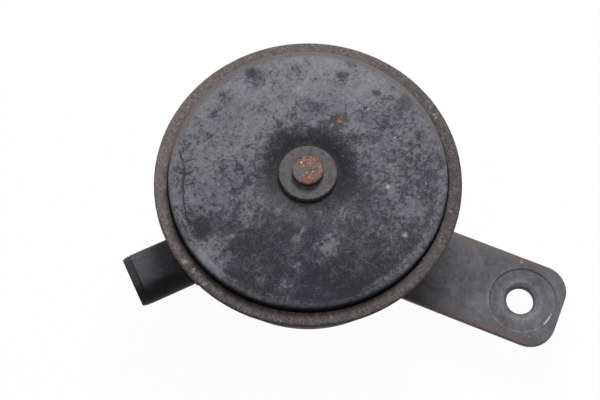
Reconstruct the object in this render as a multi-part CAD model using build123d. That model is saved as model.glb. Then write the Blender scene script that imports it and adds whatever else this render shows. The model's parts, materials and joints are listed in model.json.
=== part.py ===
from build123d import *
import math
import os

# Electromagnetic disc horn for a road vehicle, in millimetres.
#
# The horn is drawn about its own axis: z = 0 is the seat face of its mounting bracket, +Z points
# out of the sounding face, and the connector looks along -X. At the end everything is moved so
# that the centre of the bracket's bolt hole, on the seat face, is the origin.

# ---------------------------------------------------------------- driving dimensions

# mounting bracket
strap_width = 26.5
strap_thickness = 2.0
strap_reach = 83.4              # horn axis to the outer end of the strap
strap_corner = 8.0
strap_edge = 0.3                # rounding that the press leaves on the strap's outline
strap_angle = -48.1             # direction of the strap about the horn axis, degrees
bolt_hole_diameter = 8.4        # clearance for an M8 bolt
bolt_hole_reach = 70.8          # horn axis to the bolt hole
seat_reach = 71.6               # horn axis to the coined seat, which the hole misses by a little
seat_diameter = 20.0
seat_depth = 0.5                # how far the seat is coined in, and stands out behind
seat_slope = 0.5
funnel_diameter = 12.0
bolt_hole_wall = 1.0            # straight wall left in the hole below its funnel
through = 1.0                   # how far a cut runs past the face that it opens
nearly = 0.01                   # levels closer than this are the same one

# horn body
horn_diameter = 90.0
horn_depth = 32.0               # strap's front face to the front of the crimp ring
ring_wall = 0.8
ring_edge = 1.4                 # outer rounding of the crimp ring
ring_lip_edge = 0.35            # rounding at the ring's bore
ring_width = 4.0                # rim of the horn to the ring's bore
pot_wall = 1.0
pot_inset = 6.4                 # rim of the horn to the wall of the pot
pot_corner = 3.0
pot_neck_radius = 1.2           # where the pot turns out into its flange
boss_diameter = 30.0
boss_height = 2.2               # how far the boss stands out behind the pot's floor
flange_gap = 0.3                # edge of the clamped stack to the wall of the crimp ring
gasket_thickness = 0.3
gasket_width = 3.9

# diaphragm and what rides on it
diaphragm_thickness = 0.4
diaphragm_dish = 2.0            # clamped edge down to the middle
dish_margin = 1.0               # flat of the diaphragm inside its gasket
dish_width = 5.0
disc_gap = 0.7                  # bore of the crimp ring to the edge of the tone disc
disc_thickness = 1.0
disc_edge_rise = 2.6            # edge of the tone disc above the crimp ring
disc_crown_rise = 3.4           # its crown above the crimp ring
disc_centre_rise = 2.2          # its sunken middle above the crimp ring
disc_centre_radius = 9.4
disc_crown_radius = 17.0
disc_corner = 1.5
disc_swell_slope = 0.12         # slope of the disc where it leaves its sunken middle
disc_fall_slope = 0.07          # and where it meets its rounded edge
disc_skirt_gap = 0.4            # lower edge of the skirt above the crimp ring
stem_diameter = 6.8
stem_fit = 0.05
washer_diameter = 16.9
washer_thickness = 1.5
washer_edge = 0.35
head_diameter = 8.8
head_height = 2.2
head_edge = 0.5
bush_diameter = 15.0
clamp_washer_diameter = 20.0
clamp_washer_thickness = 1.0

# magnet
stud_diameter = 8.0
stud_clearance = 0.2
stud_tail = 2.0                 # thread past the nut
stud_chamfer = 0.8
core_diameter = 14.0
core_collar_diameter = 22.0
core_collar_height = 2.5
core_proud = 0.6                # core above its retaining ring
bobbin_height = 14.0
bobbin_diameter = 36.0
bobbin_wall = 1.0
bobbin_flange = 1.2
bobbin_fit = 0.1
winding_fit = 0.05
winding_step = 1.2              # wire left below the edge of the bobbin's flanges
keeper_diameter = 22.0
keeper_thickness = 0.6
air_gap = 0.8
stroke = 0.5                    # pull-in stroke of the armature
armature_diameter = 20.0
armature_height = 4.0
striker_overhang = 3.5          # striker past the middle of the pusher
striker_thickness = 1.6
striker_edge = 0.4
stem_foot_diameter = 12.0

# contact breaker, drawn along +X and then turned to its place
breaker_angle = 90.0
breaker_width = 12.0
breaker_wall_gap = 0.7          # corners of the clamped stack to the wall of the pot
clamp_length = 6.0
hinge_gap = 1.9                 # clamped stack to the bend line of the leaf
lever_length = 16.0             # bend line to the pusher
contact_offset = 8.5            # pusher to the contacts
arm_tip_overhang = 1.5          # arm past the pusher
arm_tail_gap = 1.5              # bend line to the arm's riveted end
arm_taper_gap = 3.0             # contacts to the start of the arm's taper
arm_width = 7.0
arm_tip_width = 3.8
arm_thickness = 1.0
leaf_thickness = 0.3
leaf_lap = 4.6
fixed_arm_overhang = 2.4        # fixed arm past the contacts
fixed_arm_width = 8.0
fixed_arm_thickness = 1.2
contact_diameter = 3.2
contact_height = 0.7
contact_touch = 0.02            # closed contacts and the pusher, left clear of each other
pusher_diameter = 2.4
pusher_height = 1.35
pusher_crown = 0.9
pusher_touch = 0.05
sheet_insulator = 1.0
bracket_plate = 1.2
bracket_step = 1.6              # clamped stack to the inner face of the bracket's upright
foot_rivet_gap = 4.8            # upright to the rivets in the bracket's foot
foot_gap = 1.6                  # bobbin to the end of the bracket's foot
breaker_rivet_diameter = 2.0
breaker_rivet_pitch = 7.0
rivet_head_diameter = 3.6
rivet_head_height = 0.9
rivet_fit = 0.05

# adjusting screw
screw_offset = 10.0             # beside the middle line of the breaker
screw_ear = 3.0                 # half width of the fixed arm's ear over the screw
screw_diameter = 4.0
screw_head_diameter = 7.0
screw_head_height = 2.4
screw_head_chamfer = 0.5
screw_slot_width = 1.0
screw_slot_depth = 1.2
screw_bush_diameter = 7.0
screw_bush_collar = 9.0
screw_bush_length = 5.0
screw_bush_lip = 0.8
screw_fit = 0.05

# connector
connector_diameter = 15.9
connector_stub = 17.2           # collar to the mouth
connector_drop = 21.7           # front of the crimp ring to the connector's axis
connector_bore = 12.6
connector_depth = 14.0
connector_lip = 2.0             # tapered end of the connector
connector_taper = 0.4           # how much smaller its radius gets there
connector_groove = 0.15
connector_groove_width = 0.4
connector_edge = 0.5
collar_diameter = 17.4          # collar that bears on the seal
collar_stand = 1.8              # seal to the outer face of the collar
collar_edge = 0.5
seal_thickness = 0.8
spigot_width = 13.4
spigot_height = 8.8
spigot_depth = 2.2              # wall of the pot to the inner end of the spigot
snap_rib = 0.9
snap_rib_width = 7.0
snap_gap = 0.6                  # wall of the pot to the snap ribs behind it
window_gap = 0.2
window_depth = 6.0
blade_width = 6.3
blade_thickness = 0.8
blade_offset = 3.0              # each blade's middle from the connector's axis
blade_recess = 5.6              # mouth to the tips of the blades
blade_fit = 0.03
blade_tip = 1.2
lock_hole_diameter = 1.6
lock_hole_reach = 4.0           # tip of the blade to its lock hole
tail_width = 4.0
tail_length = 5.4

# fasteners behind the horn
lock_washer_diameter = 14.8
lock_washer_thickness = 2.0
lock_washer_split = 1.0
lock_washer_turn = 35.0         # where the split lies, degrees
lock_washer_fit = 0.1
nut_across_flats = 13.0
nut_height = 6.5
nut_dressing = 1.1              # height of the chamfer on the nut's corners
nut_face_inset = 0.2
thread_fit = 0.03

# wiring inside
wire_diameter = 1.2
wire_bend = 2.5
wire_offset = 9.0               # side tabs that the wires are soldered to
tab_width = 3.0
wire_touch = 0.05
wire_entry_drop = 3.0           # top of the bobbin to the wire that enters the winding
wire_wall_gap = 2.8             # return wire to the wall of the pot
wire_turn = 134.0               # where the return wire turns along that wall, degrees

# ---------------------------------------------------------------- levels along the axis

strap_back = seat_depth
strap_front = strap_back + strap_thickness
horn_front = strap_front + horn_depth

boss_floor = strap_front + pot_wall
pot_back = strap_front + boss_height
pot_floor = pot_back + pot_wall

diaphragm_top = horn_front - ring_wall
diaphragm_base = diaphragm_top - diaphragm_thickness
flange_top = diaphragm_base - gasket_thickness
flange_base = flange_top - pot_wall
ring_base = flange_base - ring_wall
dish_base = diaphragm_base - diaphragm_dish
dish_top = dish_base + diaphragm_thickness

bobbin_base = boss_floor + core_collar_height
bobbin_top = bobbin_base + bobbin_height
keeper_top = bobbin_top + keeper_thickness
core_top = keeper_top + core_proud

disc_centre_top = horn_front + disc_centre_rise
disc_centre_base = disc_centre_top - disc_thickness
washer_top = disc_centre_top + washer_thickness
head_top = washer_top + head_height

armature_base = core_top + air_gap
striker_base = armature_base + armature_height
striker_top = striker_base + striker_thickness
clamp_base = dish_base - clamp_washer_thickness

arm_top = striker_base - pusher_touch - pusher_height
arm_base = arm_top - arm_thickness
leaf_base = arm_base - leaf_thickness
fixed_arm_base = arm_top + 2 * contact_height + contact_touch
fixed_arm_top = fixed_arm_base + fixed_arm_thickness
breaker_shelf = leaf_base - sheet_insulator
breaker_head = fixed_arm_top + sheet_insulator

connector_level = horn_front - connector_drop
lock_washer_base = strap_back - lock_washer_thickness
nut_base = lock_washer_base - nut_height
stud_end = nut_base - stud_tail

# ---------------------------------------------------------------- radii

horn_radius = horn_diameter / 2
flange_radius = horn_radius - ring_wall - flange_gap
ring_bore_radius = horn_radius - ring_width
disc_radius = ring_bore_radius - disc_gap
pot_radius = horn_radius - pot_inset
stem_radius = stem_diameter / 2
stem_bore = stem_radius + stem_fit
stud_radius = stud_diameter / 2
stud_bore = stud_radius + stud_clearance
screw_radius = screw_diameter / 2
seal_radius = pot_radius + seal_thickness
pot_inner_radius = pot_radius - pot_wall
dish_outer_radius = flange_radius - gasket_width - dish_margin
dish_inner_radius = dish_outer_radius - dish_width

# ---------------------------------------------------------------- reaches along the breaker

breaker_outer = math.sqrt((pot_inner_radius - breaker_wall_gap) ** 2 - (breaker_width / 2) ** 2)
breaker_inner = breaker_outer - clamp_length
breaker_middle = (breaker_outer + breaker_inner) / 2
hinge_reach = breaker_inner - hinge_gap
pusher_reach = hinge_reach - lever_length
contact_reach = pusher_reach + contact_offset
arm_tip_reach = pusher_reach - arm_tip_overhang
arm_tail_reach = hinge_reach - arm_tail_gap
arm_rivet_reach = arm_tail_reach - leaf_lap / 2
fixed_arm_tip = contact_reach - fixed_arm_overhang
bracket_upright = breaker_inner - bracket_step
foot_rivet_reach = bracket_upright - foot_rivet_gap
bracket_foot_inner = bobbin_diameter / 2 + foot_gap
screw_reach = arm_tail_reach
striker_radius = pusher_reach + striker_overhang

# ---------------------------------------------------------------- reaches along the connector

collar_reach = seal_radius + collar_stand
connector_reach = collar_reach + connector_stub
spigot_reach = pot_inner_radius - spigot_depth
tail_reach = spigot_reach - tail_length
tail_middle = (spigot_reach + tail_reach) / 2


# ---------------------------------------------------------------- helpers

def turned(points):
    """A solid of revolution about the horn's axis from (radius, height) corners."""
    return revolve(make_face(Plane.XZ * Polyline(*points, close=True)), Axis.Z)


def ring(inner, outer, low, high):
    """A plain ring about the horn's axis."""
    return turned([(inner, low), (outer, low), (outer, high), (inner, high)])


def round_at(part, radius, level, size):
    """Round the circular edge that has this radius and height."""
    edges = [
        edge for edge in part.edges().filter_by(GeomType.CIRCLE)
        if abs(edge.radius - radius) < nearly and abs(edge.center().Z - level) < nearly
    ]
    return fillet(edges, size)


def slab(x_span, y_span, z_span):
    """A box given by its low and high limits along X, Y and Z."""
    size = [high - low for low, high in (x_span, y_span, z_span)]
    middle = [(high + low) / 2 for low, high in (x_span, y_span, z_span)]
    return Pos(*middle) * Box(*size)


def post(x, y, radius, low, high):
    """An upright cylinder."""
    return Pos(x, y, (low + high) / 2) * Cylinder(radius, high - low)


def lying(x_low, x_high, radius, level):
    """A cylinder along X at a height."""
    return Pos((x_low + x_high) / 2, 0, level) * Rot(0, 90, 0) * Cylinder(radius, x_high - x_low)


def plate(outline, low, high):
    """A flat plate from a sketch, between two levels."""
    return Pos(0, 0, low) * extrude(outline, high - low)


def wire(points):
    """A round wire along straight runs with bends between them."""
    path = FilletPolyline(*points, radius=wire_bend) if len(points) > 2 else Polyline(*points)
    start = Plane(origin=path @ 0, z_dir=path % 0)
    return sweep(start * Circle(wire_diameter / 2), path)


def in_breaker(shape):
    """Turn a piece of the contact breaker to its place about the horn's axis."""
    return Rot(0, 0, breaker_angle) * shape


def in_strap(shape):
    """Turn a piece drawn along +X to the direction of the bracket."""
    return Rot(0, 0, strap_angle) * shape


def two_holes(reach, low, high):
    """The pair of rivet holes at this reach along the breaker."""
    radius = breaker_rivet_diameter / 2
    pitch = breaker_rivet_pitch / 2
    return post(reach, -pitch, radius, low, high) + post(reach, pitch, radius, low, high)


def clamp_holes(low, high):
    """The two rivet holes through the clamped stack."""
    return two_holes(breaker_middle, low - through, high + through)


def foot_holes(low, high):
    """The two rivet holes through the breaker's foot and the floor of the pot."""
    return two_holes(foot_rivet_reach, low, high)


def connector_window():
    """The window in the wall of the pot that the connector's spigot goes through."""
    half_width = spigot_width / 2 + window_gap
    half_height = spigot_height / 2 + window_gap
    return slab(
        (-seal_radius - through, -pot_radius + window_depth),
        (-half_width, half_width),
        (connector_level - half_height, connector_level + half_height),
    )


# ---------------------------------------------------------------- horn body

def make_housing_pot():
    outer = [
        (stud_bore, strap_front),
        (boss_diameter / 2, strap_front),
        (boss_diameter / 2 + boss_height, pot_back),
        (pot_radius, pot_back),
        (pot_radius, flange_base),
        (flange_radius, flange_base),
    ]
    inner = [
        (flange_radius, flange_top),
        (pot_inner_radius, flange_top),
        (pot_inner_radius, pot_floor),
        (boss_diameter / 2 + boss_height - pot_wall, pot_floor),
        (boss_diameter / 2 - pot_wall, boss_floor),
        (stud_bore, boss_floor),
    ]
    pot = turned(outer + inner)
    pot = round_at(pot, pot_radius, pot_back, pot_corner)
    pot = round_at(pot, pot_inner_radius, pot_floor, pot_corner - pot_wall)
    pot = round_at(pot, pot_radius, flange_base, pot_neck_radius)
    pot = round_at(pot, pot_inner_radius, flange_top, pot_neck_radius)
    low = pot_back - through
    high = pot_floor + through
    pot -= connector_window()
    pot -= in_breaker(post(screw_reach, screw_offset, screw_bush_diameter / 2, low, high))
    pot -= in_breaker(foot_holes(low, high))
    return pot


def make_crimp_ring():
    bore = ring_bore_radius
    section = turned([
        (bore, horn_front),
        (horn_radius, horn_front),
        (horn_radius, ring_base),
        (bore, ring_base),
        (bore, flange_base),
        (horn_radius - ring_wall, flange_base),
        (horn_radius - ring_wall, diaphragm_top),
        (bore, diaphragm_top),
    ])
    section = round_at(section, horn_radius, horn_front, ring_edge)
    section = round_at(section, horn_radius, ring_base, ring_edge)
    return round_at(section, bore, horn_front, ring_lip_edge)


def make_flange_gasket():
    return ring(flange_radius - gasket_width, flange_radius, flange_top, diaphragm_base)


# ---------------------------------------------------------------- diaphragm and what rides on it

def make_diaphragm():
    profile = [
        (flange_radius, diaphragm_base),
        (dish_outer_radius, diaphragm_base),
        (dish_inner_radius, dish_base),
        (stem_bore, dish_base),
        (stem_bore, dish_top),
        (dish_inner_radius, dish_top),
        (dish_outer_radius, diaphragm_top),
        (flange_radius, diaphragm_top),
    ]
    return turned(profile)


def tone_disc_curve(drop):
    """Upper or lower line of the disc's section, from the middle out to the rounded edge."""
    edge_radius = disc_radius - disc_corner
    middle_end = (disc_centre_radius, disc_centre_top - drop)
    crown = (disc_crown_radius, horn_front + disc_crown_rise - drop)
    edge = (edge_radius, horn_front + disc_edge_rise - drop)
    swell = Spline(middle_end, crown, tangents=[(1, disc_swell_slope), (1, 0)])
    fall = Spline(crown, edge, tangents=[(1, 0), (1, -disc_fall_slope)])
    return swell, fall, middle_end, edge


def rounded(start, size):
    """A quarter round from this point outwards and down."""
    side = size * math.sin(math.pi / 4)
    drop = size * (1 - math.cos(math.pi / 4))
    return ThreePointArc(start, (start[0] + side, start[1] - drop), (start[0] + size, start[1] - size))


def make_tone_disc():
    swell, fall, middle_end, edge = tone_disc_curve(0)
    under_swell, under_fall, under_middle, under_edge = tone_disc_curve(disc_thickness)
    skirt_end = horn_front + disc_skirt_gap
    outer = disc_radius
    inner = outer - disc_thickness
    inner_corner = disc_corner - disc_thickness
    edge_level = edge[1] - disc_corner
    corner = rounded(edge, disc_corner)
    skirt = Polyline((outer, edge_level), (outer, skirt_end), (inner, skirt_end), (inner, edge_level))
    under_corner = rounded(under_edge, inner_corner)
    middle = Polyline(under_middle, (stem_bore, disc_centre_base), (stem_bore, disc_centre_top), middle_end)
    outline = swell + fall + corner + skirt + under_corner + under_fall + under_swell + middle
    return revolve(make_face(Plane.XZ * outline), Axis.Z)


def make_armature():
    foot = stem_foot_diameter / 2
    body = turned([
        (0, armature_base),
        (armature_diameter / 2, armature_base),
        (armature_diameter / 2, striker_base),
        (striker_radius, striker_base),
        (striker_radius, striker_top),
        (foot, striker_top),
        (foot, clamp_base),
        (stem_radius, clamp_base),
        (stem_radius, washer_top),
        (head_diameter / 2, washer_top),
        (head_diameter / 2, head_top),
        (0, head_top),
    ])
    body = round_at(body, head_diameter / 2, head_top, head_edge)
    return round_at(body, striker_radius, striker_top, striker_edge)


def make_front_washer():
    washer = ring(stem_bore, washer_diameter / 2, disc_centre_top, washer_top)
    return round_at(washer, washer_diameter / 2, washer_top, washer_edge)


def make_spacer_bush():
    return ring(stem_bore, bush_diameter / 2, dish_top, disc_centre_base)


def make_clamp_washer():
    return ring(stem_bore, clamp_washer_diameter / 2, clamp_base, dish_base)


# ---------------------------------------------------------------- magnet

def make_core_stud():
    core = turned([
        (0, core_top),
        (core_diameter / 2, core_top),
        (core_diameter / 2, bobbin_base),
        (core_collar_diameter / 2, bobbin_base),
        (core_collar_diameter / 2, boss_floor),
        (stud_radius, boss_floor),
        (stud_radius, stud_end),
        (0, stud_end),
    ])
    tip = core.edges().filter_by(GeomType.CIRCLE).sort_by(Axis.Z)[0]
    return chamfer(tip, stud_chamfer)


def make_coil_bobbin():
    bore = core_diameter / 2 + bobbin_fit
    tube = bore + bobbin_wall
    outer = bobbin_diameter / 2
    return turned([
        (bore, bobbin_base),
        (outer, bobbin_base),
        (outer, bobbin_base + bobbin_flange),
        (tube, bobbin_base + bobbin_flange),
        (tube, bobbin_top - bobbin_flange),
        (outer, bobbin_top - bobbin_flange),
        (outer, bobbin_top),
        (bore, bobbin_top),
    ])


def winding_radius():
    return bobbin_diameter / 2 - winding_step


def make_coil_winding():
    inner = core_diameter / 2 + bobbin_fit + bobbin_wall + winding_fit
    return ring(inner, winding_radius(), bobbin_base + bobbin_flange, bobbin_top - bobbin_flange)


def make_coil_keeper():
    return ring(core_diameter / 2 + bobbin_fit, keeper_diameter / 2, bobbin_top, keeper_top)


# ---------------------------------------------------------------- contact breaker

def stack_plate(low, high):
    """The full width of the clamped stack between two levels."""
    return slab((breaker_inner, breaker_outer), (-breaker_width / 2, breaker_width / 2), (low, high))


def stack_sheet(low, high):
    """One insulating sheet of the clamped stack."""
    return in_breaker(stack_plate(low, high) - clamp_holes(low, high))


def make_contact_bracket():
    half = breaker_width / 2
    foot_top = pot_floor + bracket_plate
    shelf_base = breaker_shelf - bracket_plate
    upright_outer = bracket_upright + bracket_plate
    foot = slab((bracket_foot_inner, upright_outer), (-half, half), (pot_floor, foot_top))
    upright = slab((bracket_upright, upright_outer), (-half, half), (pot_floor, breaker_shelf))
    shelf = slab((bracket_upright, breaker_outer), (-half, half), (shelf_base, breaker_shelf))
    body = foot + upright + shelf
    body -= clamp_holes(shelf_base, breaker_shelf)
    body -= foot_holes(pot_floor - through, foot_top + through)
    return in_breaker(body)


def rivet(x, y, low, high):
    """A rivet with a head at each end of its grip."""
    shank = post(x, y, breaker_rivet_diameter / 2 - rivet_fit, low, high)
    lower = post(x, y, rivet_head_diameter / 2, low - rivet_head_height, low)
    upper = post(x, y, rivet_head_diameter / 2, high, high + rivet_head_height)
    return shank + lower + upper


def make_bracket_rivets():
    pitch = breaker_rivet_pitch / 2
    low = pot_back
    high = pot_floor + bracket_plate
    return in_breaker(Compound([rivet(foot_rivet_reach, side * pitch, low, high) for side in (-1, 1)]))


def make_breaker_rivets():
    pitch = breaker_rivet_pitch / 2
    low = breaker_shelf - bracket_plate
    return in_breaker(Compound([rivet(breaker_middle, side * pitch, low, breaker_head) for side in (-1, 1)]))


def make_leaf_spring():
    half = arm_width / 2
    tongue = slab((arm_tail_reach - leaf_lap, breaker_inner), (-half, half), (leaf_base, arm_base))
    root = stack_plate(leaf_base, arm_base)
    tab = solder_tab(-1, leaf_base, arm_base)
    return in_breaker(tongue + root + tab - clamp_holes(leaf_base, arm_base) - arm_hole(leaf_base, arm_base))


def solder_tab(side, low, high):
    """A side tab of the clamped stack that a wire is soldered to."""
    inner = side * breaker_width / 2
    outer = side * (wire_offset + tab_width / 2)
    reach = (breaker_middle - tab_width / 2, breaker_middle + tab_width / 2)
    return slab(reach, (min(inner, outer), max(inner, outer)), (low, high))


def arm_hole(low, high):
    """The hole for the rivet that joins the leaf and the arm."""
    return post(arm_rivet_reach, 0, breaker_rivet_diameter / 2, low - through, high + through)


def make_contact_arm():
    half = arm_width / 2
    taper = contact_reach - arm_taper_gap
    outline = Polyline(
        (arm_tail_reach, -half),
        (arm_tail_reach, half),
        (taper, half),
        (arm_tip_reach, arm_tip_width / 2),
        (arm_tip_reach, -arm_tip_width / 2),
        (taper, -half),
        close=True,
    )
    return in_breaker(plate(make_face(outline), arm_base, arm_top) - arm_hole(arm_base, arm_top))


def make_arm_rivet():
    return in_breaker(rivet(arm_rivet_reach, 0, leaf_base, arm_top))


def make_moving_contact():
    return in_breaker(post(contact_reach, 0, contact_diameter / 2, arm_top, arm_top + contact_height))


def make_fixed_contact():
    return in_breaker(
        post(contact_reach, 0, contact_diameter / 2, fixed_arm_base - contact_height, fixed_arm_base)
    )


def make_pusher():
    button = post(pusher_reach, 0, pusher_diameter / 2, arm_top, arm_top + pusher_height)
    crown = button.edges().filter_by(GeomType.CIRCLE).sort_by(Axis.Z)[-1]
    return in_breaker(fillet(crown, pusher_crown))


def make_fixed_arm():
    half = fixed_arm_width / 2
    strip = slab((fixed_arm_tip, breaker_inner), (-half, half), (fixed_arm_base, fixed_arm_top))
    root = stack_plate(fixed_arm_base, fixed_arm_top)
    ear = slab(
        (screw_reach - screw_ear, screw_reach + screw_ear),
        (half, screw_offset + screw_ear),
        (fixed_arm_base, fixed_arm_top),
    )
    tab = solder_tab(1, fixed_arm_base, fixed_arm_top)
    return in_breaker(strip + root + ear + tab - clamp_holes(fixed_arm_base, fixed_arm_top))


# ---------------------------------------------------------------- adjusting screw

def make_screw_bush():
    bore = screw_radius + screw_fit
    collar_base = pot_back - screw_bush_lip
    bush_top = pot_back + screw_bush_length
    bush = post(screw_reach, screw_offset, screw_bush_diameter / 2 - screw_fit, collar_base, bush_top)
    bush += post(screw_reach, screw_offset, screw_bush_collar / 2, collar_base, pot_back)
    bush -= post(screw_reach, screw_offset, bore, collar_base - through, bush_top + through)
    return in_breaker(bush)


def make_adjusting_screw():
    head_top_level = pot_back - screw_bush_lip
    head_base = head_top_level - screw_head_height
    shank = post(screw_reach, screw_offset, screw_radius, head_top_level, fixed_arm_base - contact_touch)
    head = post(screw_reach, screw_offset, screw_head_diameter / 2, head_base, head_top_level)
    head = chamfer(head.edges().filter_by(GeomType.CIRCLE).sort_by(Axis.Z)[0], screw_head_chamfer)
    slot = slab(
        (screw_reach - screw_head_diameter, screw_reach + screw_head_diameter),
        (screw_offset - screw_slot_width / 2, screw_offset + screw_slot_width / 2),
        (head_base - through, head_base + screw_slot_depth),
    )
    return in_breaker(shank + head - slot)


# ---------------------------------------------------------------- connector

def blade_levels():
    return connector_level + blade_offset, connector_level - blade_offset


def make_connector_shell():
    outer = connector_diameter / 2
    level = connector_level
    lip_end = -connector_reach + connector_lip
    lip = Pos(-connector_reach + connector_lip / 2, 0, level) * Rot(0, 90, 0) * Cone(
        outer - connector_taper, outer, connector_lip
    )
    mouth = lip.edges().filter_by(GeomType.CIRCLE).sort_by(Axis.X)[0]
    groove = lying(lip_end, lip_end + connector_groove_width, outer + through, level)
    groove -= lying(lip_end, lip_end + connector_groove_width, outer - connector_groove, level)
    tube = lying(lip_end, -pot_radius, outer, level) - groove
    collar = lying(-collar_reach, 0, collar_diameter / 2, level)
    collar_mouth = collar.edges().filter_by(GeomType.CIRCLE).sort_by(Axis.X)[0]
    shell = fillet(mouth, connector_edge) + tube + fillet(collar_mouth, collar_edge)
    shell -= Pos(0, 0, horn_front / 2) * Cylinder(seal_radius, 2 * horn_front)
    spigot = slab(
        (-collar_reach, -spigot_reach),
        (-spigot_width / 2, spigot_width / 2),
        (level - spigot_height / 2, level + spigot_height / 2),
    )
    rib_reach = spigot_height / 2 + snap_rib
    ribs = slab(
        (-pot_inner_radius + snap_gap, -spigot_reach),
        (-snap_rib_width / 2, snap_rib_width / 2),
        (level - rib_reach, level + rib_reach),
    )
    shell = shell + spigot + ribs
    socket_floor = -connector_reach + connector_depth
    shell -= lying(-connector_reach - through, socket_floor, connector_bore / 2, level)
    for blade_level in blade_levels():
        shell -= slab(
            (-connector_reach, -spigot_reach + through),
            (-blade_width / 2 - blade_fit, blade_width / 2 + blade_fit),
            (blade_level - blade_thickness / 2 - blade_fit, blade_level + blade_thickness / 2 + blade_fit),
        )
    return shell


def make_connector_seal():
    reach = collar_diameter / 2
    sleeve = ring(pot_radius, seal_radius, connector_level - reach, connector_level + reach)
    patch = lying(-seal_radius - through, 0, reach, connector_level)
    return (sleeve & patch) - connector_window()


def make_terminal(level):
    tip = -connector_reach + blade_recess
    blade_end = -spigot_reach
    half = blade_width / 2
    outline = Polyline(
        (tip, -half + blade_tip),
        (tip + blade_tip, -half),
        (blade_end, -half),
        (blade_end, -tail_width / 2),
        (-tail_reach, -tail_width / 2),
        (-tail_reach, tail_width / 2),
        (blade_end, tail_width / 2),
        (blade_end, half),
        (tip + blade_tip, half),
        (tip, half - blade_tip),
        close=True,
    )
    blade = plate(make_face(outline), level - blade_thickness / 2, level + blade_thickness / 2)
    lock_hole = post(
        tip + lock_hole_reach, 0, lock_hole_diameter / 2, level - through, level + through
    )
    return blade - lock_hole


# ---------------------------------------------------------------- wiring inside

def make_coil_wire():
    level = blade_levels()[0]
    return wire([(-tail_reach, 0, level), (-winding_radius(), 0, level)])


def make_breaker_wire():
    level = bobbin_top - wire_entry_drop
    angle = math.atan2(-wire_offset, breaker_middle)
    end_radius = winding_radius() + wire_touch
    path = [
        (breaker_middle, -wire_offset, leaf_base),
        (breaker_middle, -wire_offset, level),
        (end_radius * math.cos(angle), end_radius * math.sin(angle), level),
    ]
    return in_breaker(wire(path))


def make_return_wire():
    level = blade_levels()[1]
    radius = pot_inner_radius - wire_wall_gap
    turn = math.radians(wire_turn)
    path = [
        (-wire_offset, breaker_middle, fixed_arm_base),
        (-wire_offset, breaker_middle, level),
        (radius * math.cos(turn), radius * math.sin(turn), level),
        (-tail_middle, math.sqrt(radius ** 2 - tail_middle ** 2), level),
        (-tail_middle, tail_width / 2, level),
    ]
    return wire(path)


# ---------------------------------------------------------------- bracket and its fasteners

def make_mounting_bracket():
    half = strap_width / 2
    strap = Pos(strap_reach / 2, 0, 0) * Rectangle(strap_reach, strap_width)
    strap = fillet(strap.vertices().sort_by(Axis.X)[-2:], strap_corner)
    blank = plate(strap + Circle(half), strap_back, strap_front)
    outline = blank.faces().sort_by(Axis.Z)[-1].edges() + blank.faces().sort_by(Axis.Z)[0].edges()
    blank = fillet(outline, strap_edge)
    seat_radius = seat_diameter / 2
    recess_floor = strap_front - seat_depth
    coin = Cone(seat_radius, seat_radius + seat_slope, seat_depth)
    recess = Pos(seat_reach, 0, recess_floor + seat_depth / 2) * coin
    pad = Pos(seat_reach, 0, seat_depth / 2) * coin
    blank = blank - recess + pad
    hole_radius = bolt_hole_diameter / 2
    funnel = loft([
        Pos(bolt_hole_reach, 0, bolt_hole_wall) * Circle(hole_radius),
        Pos(seat_reach, 0, recess_floor) * Circle(funnel_diameter / 2),
    ])
    blank -= funnel
    blank -= post(bolt_hole_reach, 0, hole_radius, -through, strap_front + through)
    blank -= post(0, 0, stud_bore, -through, strap_front + through)
    return in_strap(blank)


def make_lock_washer():
    bore = stud_radius + lock_washer_fit
    washer = ring(bore, lock_washer_diameter / 2, lock_washer_base, strap_back)
    split = slab(
        (0, lock_washer_diameter),
        (-lock_washer_split / 2, lock_washer_split / 2),
        (lock_washer_base - through, strap_back + through),
    )
    return Rot(0, 0, lock_washer_turn) * (washer - split)


def make_mounting_nut():
    blank = plate(RegularPolygon(nut_across_flats / 2, 6, major_radius=False), nut_base, lock_washer_base)
    corner = nut_across_flats / math.sqrt(3)
    face = nut_across_flats / 2 - nut_face_inset
    dressing = turned([
        (0, nut_base),
        (face, nut_base),
        (corner, nut_base + nut_dressing),
        (corner, lock_washer_base - nut_dressing),
        (face, lock_washer_base),
        (0, lock_washer_base),
    ])
    thread = post(0, 0, stud_radius + thread_fit, nut_base - through, lock_washer_base + through)
    return (blank & dressing) - thread


# ---------------------------------------------------------------- the horn, and its place

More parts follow.
